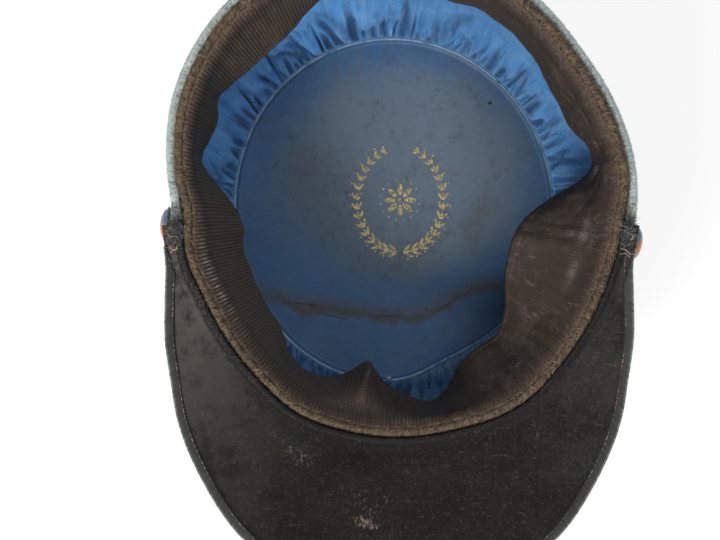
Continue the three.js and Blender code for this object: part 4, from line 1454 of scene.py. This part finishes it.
streaked = noise(tree, own_place(tree, (1500, 450, 400)), 1.0, 5.0, 0.8)
colour = mix(tree, rise(tree, patchy, 0.4, 0.66), visor_black, visor_brown)
# Paler towards the left end: partly dust and partly painted light.
end_dust_and_light = times(tree, own_value(tree, "toward_end"), rise(tree, patchy, 0.3, 0.55), 0.9)
colour = mix(tree, end_dust_and_light, colour, visor_dust_and_light)
colour = mix(tree, times(tree, rise(tree, grain, 0.52, 0.66), 0.35), colour, visor_dust_and_light)
scratched = maths(tree, "MAXIMUM", rise(tree, lines, 0.61, 0.72), rise(tree, cross_lines, 0.62, 0.73))
colour = mix(tree, times(tree, scratched, rise(tree, grain, 0.4, 0.6), 0.38), colour, visor_scratch)
worn_spots = times(tree, rise(tree, flecks, 0.61, 0.7), rise(tree, patchy, 0.44, 0.58), 0.8)
colour = mix(tree, worn_spots, colour, visor_scuff)
speckled = maths(tree, "ADD", times(tree, streaked, 0.7), times(tree, grain, 0.3))
scuffed = spot_mask(tree, scuffs, flecks, 0.6)
broken = times(tree, maths(tree, "SUBTRACT", speckled, 0.5), 4.0)
broken = rise(tree, maths(tree, "ADD", scuffed, broken), 0.7, 0.95)
colour = mix(tree, times(tree, broken, rise(tree, scuffed, 0.05, 0.25)), colour, visor_scuff)
in_fold = times(tree, own_value(tree, "lip"), rise(tree, grain, 0.7, 0.45))
paint(tree, shader, mix(tree, in_fold, colour, visor_shadow))
dullness = ramp(tree, patchy, [(0.35, (0.46, 0.46, 0.46)), (0.65, (0.68, 0.68, 0.68))])
tree.links.new(dullness, shader.inputs["Roughness"])
under = bump(tree, shader, grain, 0.3 * MM, 0.9)
bump(tree, shader, patchy, 0.9 * MM, 0.4, under)
finish_piece(visor, "visor_leather", "visor")

# The visor's binding and its sewing.
# A strip of thin dark leather folded over the visor's edge, with a pale grey-green painted highlight
# along the fold, and stitched through near its inner side with dark thread that shows tan specks.
binding_corner = 80.0
binding_bearings = np.arange(180 - binding_corner, 180 + binding_corner + 0.01, 0.5)


def outline_slant(bearing):
    """How much longer a length across the edge is when it is measured along the bearing."""
    change = (visor_radius(bearing + 1) - visor_radius(bearing - 1)) / math.radians(2)
    return np.hypot(1, change / visor_radius(bearing))


def binding_sections():
    at = binding_bearings[:, None]
    edge = visor_radius(at)
    slant = outline_slant(at)
    narrowed = 0.3 + 0.7 * fade(binding_corner - turn_from_front(at), 0, 7)
    leg_end = np.maximum(edge - binding_width * slant * narrowed, rim_radius(at) + seam_gap)
    inside = edge + binding_room * slant
    outside = inside + binding_wall * slant
    leg = np.linspace(0, 1, 6)[None, :]
    leg_radius = leg_end + (inside - leg_end) * leg
    over_height = visor_face(at, leg_radius) + visor_wall
    under_height = visor_face(at, leg_radius)
    lift = binding_room + binding_wall
    fall = np.array([[0.1, 0.7, 1, 1, 1, 1]])
    over_out = pair(leg_radius, over_height + binding_room + binding_wall * fall)
    turn = np.radians(np.linspace(75, -75, 7))[None, :]
    middle = (visor_face(at, inside) * 2 + visor_wall) / 2
    half = visor_wall / 2 + lift
    fold = pair(inside + (outside - inside) * np.cos(turn), middle + half * np.sin(turn))
    under_out = pair(leg_radius, under_height - binding_room - binding_wall * fall)[:, ::-1]
    under_in = pair(leg_radius, under_height - binding_room)
    over_in = pair(leg_radius, over_height + binding_room)[:, ::-1]
    return np.concatenate([over_out, fold, under_out, under_in, over_in], axis=1)


sections = binding_sections()
binding_dark = (0.012, 0.0113, 0.0103)
binding_grey = (0.03, 0.028, 0.025)
binding_highlight = (0.46, 0.55, 0.48)
binding_leather, tree, shader = new_material("dark_binding_leather", 0.5)
binding = carry_sections("visor_binding_strip", binding_bearings, sections, binding_leather, closed=False)
fold_share = np.zeros(sections.shape[1])
fold_share[5:13] = [0.25, 0.7, 1, 1, 1, 1, 0.8, 0.3]
store(binding, "fold", np.tile(fold_share, len(binding_bearings)))
metres = own_place(tree)
grain = noise(tree, metres, 900.0, 5.0, 0.7)
crosswise = noise(tree, own_course(tree, (900.0, 120.0, 1.0)), 1.0, 4.0, 0.65)
colour = ramp(tree, crosswise, [(0.35, binding_dark), (0.65, binding_grey)])
# Painted highlight: pale grey-green where the light catches the rounded fold.
fold_highlight = times(tree, own_value(tree, "fold"), rise(tree, crosswise, 0.3, 0.6), 0.9)
paint(tree, shader, mix(tree, fold_highlight, colour, binding_highlight))
under = bump(tree, shader, grain, 0.1 * MM, 0.6)
bump(tree, shader, crosswise, 0.2 * MM, 0.4, under)
finish_piece(binding, "binding_leather", "visor_binding")

visor_stitch_pitch = 2.3 * MM
visor_stitch_inset = 2.7 * MM
upper_stitch_reach = 76.0
lower_stitch_reach = 66.0
visor_thread, tree, shader = new_material("grey_brown_visor_thread", 0.65)
shade = noise(tree, own_place(tree), 120.0, 4.0, 0.7)
stops = [(0.4, (0.035, 0.032, 0.03)), (0.52, (0.08, 0.065, 0.05)), (0.62, (0.27, 0.19, 0.13))]
paint(tree, shader, ramp(tree, shade, stops))


def even_bearings(low, high, pitch, radius_at):
    """Bearings whose points on a curve lie a pitch apart."""
    fine = np.linspace(low, high, 4000)
    length = length_along(fine, radius_at(fine))
    return np.interp(np.arange(pitch / 2, length[-1], pitch), length, fine)


def stitch_circle(bearing):
    return visor_radius(bearing) - visor_stitch_inset * outline_slant(bearing)


stitch_start, stitch_end = 180 - upper_stitch_reach, 180 + upper_stitch_reach
all_stitches = even_bearings(stitch_start, stitch_end, visor_stitch_pitch, stitch_circle)
binding_over = binding_room + binding_wall
stitch_sizing = {"Rise": 0.1 * MM, "Thread": 0.2 * MM}
stitch_rows = [
    ("visor_stitches_upper", 1, upper_stitch_reach, visor_wall + binding_over),
    ("visor_stitches_lower", -1, lower_stitch_reach, -binding_over),
]
for name, side, reach, lift in stitch_rows:
    at = all_stitches[turn_from_front(all_stitches) < reach]
    surface = visor_face(at, stitch_circle(at)) + lift
    spots = points_round(at, stitch_circle(at), surface)
    ways = unit(points_round(at + 0.5, stitch_circle(at + 0.5), surface) - spots)
    upright = np.tile([0, 0, side], (len(at), 1))
    sizes = np.full(len(at), visor_stitch_pitch * 0.72)
    row = set_in_rows(name, straight_row, spots, ways, upright, sizes, stitch_sizing, visor_thread, 62)
    finish_piece(row, "thread")

# The side buttons.
# Small domed metal buttons at the visor's ends, with a plain raised edge, painted blue-grey and worn to
# copper on the side towards the front. Each stands off the band on a short shank.
button_radius = 7.25 * MM
button_dome = 2.9 * MM
button_rim = 0.9 * MM
shank_radius = 2.2 * MM
shank_length = 1.2 * MM
button_drop = 9.0 * MM
dome_foot = shank_length + button_rim * 0.8
button_places = {"button_left": 265.0, "button_right": 99.0}
paint_dark = (0.07, 0.11, 0.16)
paint_grey = (0.2, 0.27, 0.34)
copper = (0.55, 0.2, 0.08)
button_paint, tree, shader = new_material("painted_button_metal", 0.38, {"Metallic": 0.35})
chips = noise(tree, own_place(tree), 500.0, 5.0, 0.7)
chipped = times(tree, maths(tree, "SUBTRACT", chips, 0.5), 0.7)
copper_share = maths(tree, "ADD", own_value(tree, "worn_side"), chipped)
colour = ramp(tree, chips, [(0.35, paint_dark), (0.65, paint_grey)])
paint(tree, shader, mix(tree, rise(tree, copper_share, 0.45, 0.6), colour, copper))
bump(tree, shader, chips, 0.12 * MM, 0.5)


def button_profile():
    """Distance from the button's axis, and from its foot along the axis."""
    rows = [(shank_radius, 0.0), (shank_radius, shank_length * 0.9), (button_radius - 1.2 * MM, shank_length)]
    for angle in np.radians(np.linspace(-90, 80, 7)):
        inset = button_rim / 2 * (1 - math.cos(angle))
        rows.append((button_radius - inset, shank_length + button_rim / 2 * (1 + math.sin(angle))))
    dome_radius = button_radius - button_rim
    rows.append((dome_radius, dome_foot))
    for angle in np.radians(np.linspace(8, 84, 10)):
        rows.append((dome_radius * math.cos(angle), dome_foot + button_dome * math.sin(angle)))
    return np.array(rows)


for node, bearing in button_places.items():
    at = np.array([bearing])
    height = rim_height(at) - button_drop
    radius = wall_radius(at, height)
    change = (wall_radius(at + 1, height) - wall_radius(at - 1, height)) / math.radians(2)
    facing = bearing - math.degrees(math.atan2(float(change[0]), float(radius[0])))
    foot = points_round(at, radius + seam_gap, height)[0]
    axis = outward(np.array([facing]))[0]
    side = np.array([axis[1], -axis[0], 0.0])
    profile = button_profile()
    turns = np.radians(np.arange(0, 360, 6.0))
    rows = []
    for angle in turns:
        spoke = side * math.cos(angle) + np.array([0, 0, 1.0]) * math.sin(angle)
        rows.append(foot + profile[:, :1] * spoke + profile[:, 1:] * axis)
    points, faces = capped_skin(np.array(rows), foot, foot + axis * (dome_foot + button_dome))
    button = add_object(node + "_face", points, faces, button_paint)
    forward = -(points - foot)[:, 1] / button_radius
    store(button, "worn_side", 0.5 + 0.5 * forward)
    finish_piece(button, "button_metal", node)

# The loose threads.
# Frayed dark thread and cloth lint fill the two corners where the visor, the rim and the bead meet, and a
# few single threads hang loose there, at the disc's seam and at the visor's fold.
corner_hair_total = 560
lint_radius = 0.09 * MM
lint_lift = 0.5 * MM
# Name, bearing and its spread in degrees, half width and shift across in millimetres, and a seed.
corner_heaps = [
    ("corner_lint_left", 264.5, 11.0, 3.2, -2.2, 71), ("corner_lint_right", 96.5, 8.0, 2.6, -2.4, 72),
]
stops = [(0.0, (0.02, 0.018, 0.016)), (0.4, (0.07, 0.072, 0.074)), (0.8, (0.17, 0.185, 0.19))]
lint = shaded_fibre("grey_brown_lint", 0.9, stops + [(1.0, (0.36, 0.3, 0.2))])
for name, bearing, spread, half_across, shift_across, seed in corner_heaps:
    rng = np.random.default_rng(seed)
    at = bearing + rng.normal(0, spread * 0.28, corner_hair_total)
    across = rim_radius(at) + (shift_across + rng.normal(0, half_across * 0.5, len(at))) * MM
    over_plate = 3.2 * fade(visor_corner + 1 - turn_from_front(at), 0, 2)
    height = rim_height(at) + (over_plate + rng.uniform(-0.8, 1.0, len(at))) * MM
    spots = points_round(at, across, height)
    facing = np.tile([0, 0, 1.0], (len(at), 1)) + rng.normal(0, 0.3, (len(at), 3))
    ways = rng.normal(0, 1, (len(at), 3))
    lengths = rng.uniform(0.7, 2.4, len(at)) * MM
    strewn_hairs(name, (spots, facing), ways, lengths, lint_radius, lint_lift, lint, seed + 2)

# Points of each loose thread, across, along and up, its radius, all in millimetres, and how pale it is.
loose_threads = [
    ([(-88.0, -11.2, 96.6), (-86.6, -12.2, 97.2), (-85.0, -12.0, 96.8), (-83.8, -13.4, 96.4)], 0.1, 0.9),
    ([(-87.4, -15.2, 95.6), (-86.6, -16.6, 96.4), (-85.2, -17.2, 96.2), (-84.4, -15.6, 96.4)], 0.15, 0.72),
    ([(-86.8, -18.2, 95.6), (-85.8, -17.2, 96.2), (-84.0, -16.8, 96.4)], 0.13, 0.7),
    ([(-90.6, -9.0, 95.4), (-88.4, -10.0, 96.6), (-86.2, -9.0, 96.8), (-84.8, -11.0, 96.6)], 0.09, 0.5),
    ([(84.0, -16.6, 96.2), (86.0, -17.4, 97.0), (87.6, -18.8, 96.8), (89.2, -18.6, 96.0)], 0.1, 0.9),
    ([(83.8, -18.8, 95.8), (85.8, -18.6, 96.8), (87.4, -20.0, 96.6)], 0.09, 0.8),
    ([(87.4, -10.8, 96.4), (88.4, -12.0, 97.4), (87.8, -13.6, 97.0)], 0.16, 0.7),
    ([(-3.8, -70.4, 8.5), (-3.0, -70.9, 9.4), (-2.0, -70.4, 9.2)], 0.2, 1.0),
    ([(-50.0, -68.0, 87.0), (-47.5, -70.4, 87.6), (-46.4, -72.8, 87.2)], 0.07, 0.6),
]
stops = [(0.0, (0.05, 0.04, 0.03)), (0.7, (0.36, 0.25, 0.14)), (0.9, (0.4, 0.36, 0.28))]
pale_thread = shaded_fibre("pale_loose_thread", 0.7, stops + [(1.0, (0.7, 0.66, 0.56))])


def thread_along_tree():
    """Turns a line of points into a smooth round thread."""
    kinds = [("Thread", "NodeSocketFloat"), ("Material", "NodeSocketMaterial")]
    tree, given = new_tree("thread_along", kinds)
    path = add_node(tree, "GeometryNodeMeshToCurve", {"Mesh": given["Geometry"]}).outputs[0]
    inputs = {"Curve": path}
    path = add_node(tree, "GeometryNodeCurveSplineType", inputs, spline_type="CATMULL_ROM").outputs[0]
    path = add_node(tree, "GeometryNodeSetSplineResolution", {"Geometry": path, "Resolution": 5}).outputs[0]
    close_tree(tree, thread_round(tree, path, given["Thread"], 6), given)
    return tree


thread_along = thread_along_tree()
for number, (places, radius, paleness) in enumerate(loose_threads):
    edges = [(n, n + 1) for n in range(len(places) - 1)]
    piece = link_points("loose_thread_%d" % (number + 1), np.array(places) * MM, edges)
    store(piece, "shade", np.full(len(places), paleness))
    apply_tree(piece, thread_along, {"Thread": radius * MM, "Material": pale_thread})
    finish_piece(piece, "thread")
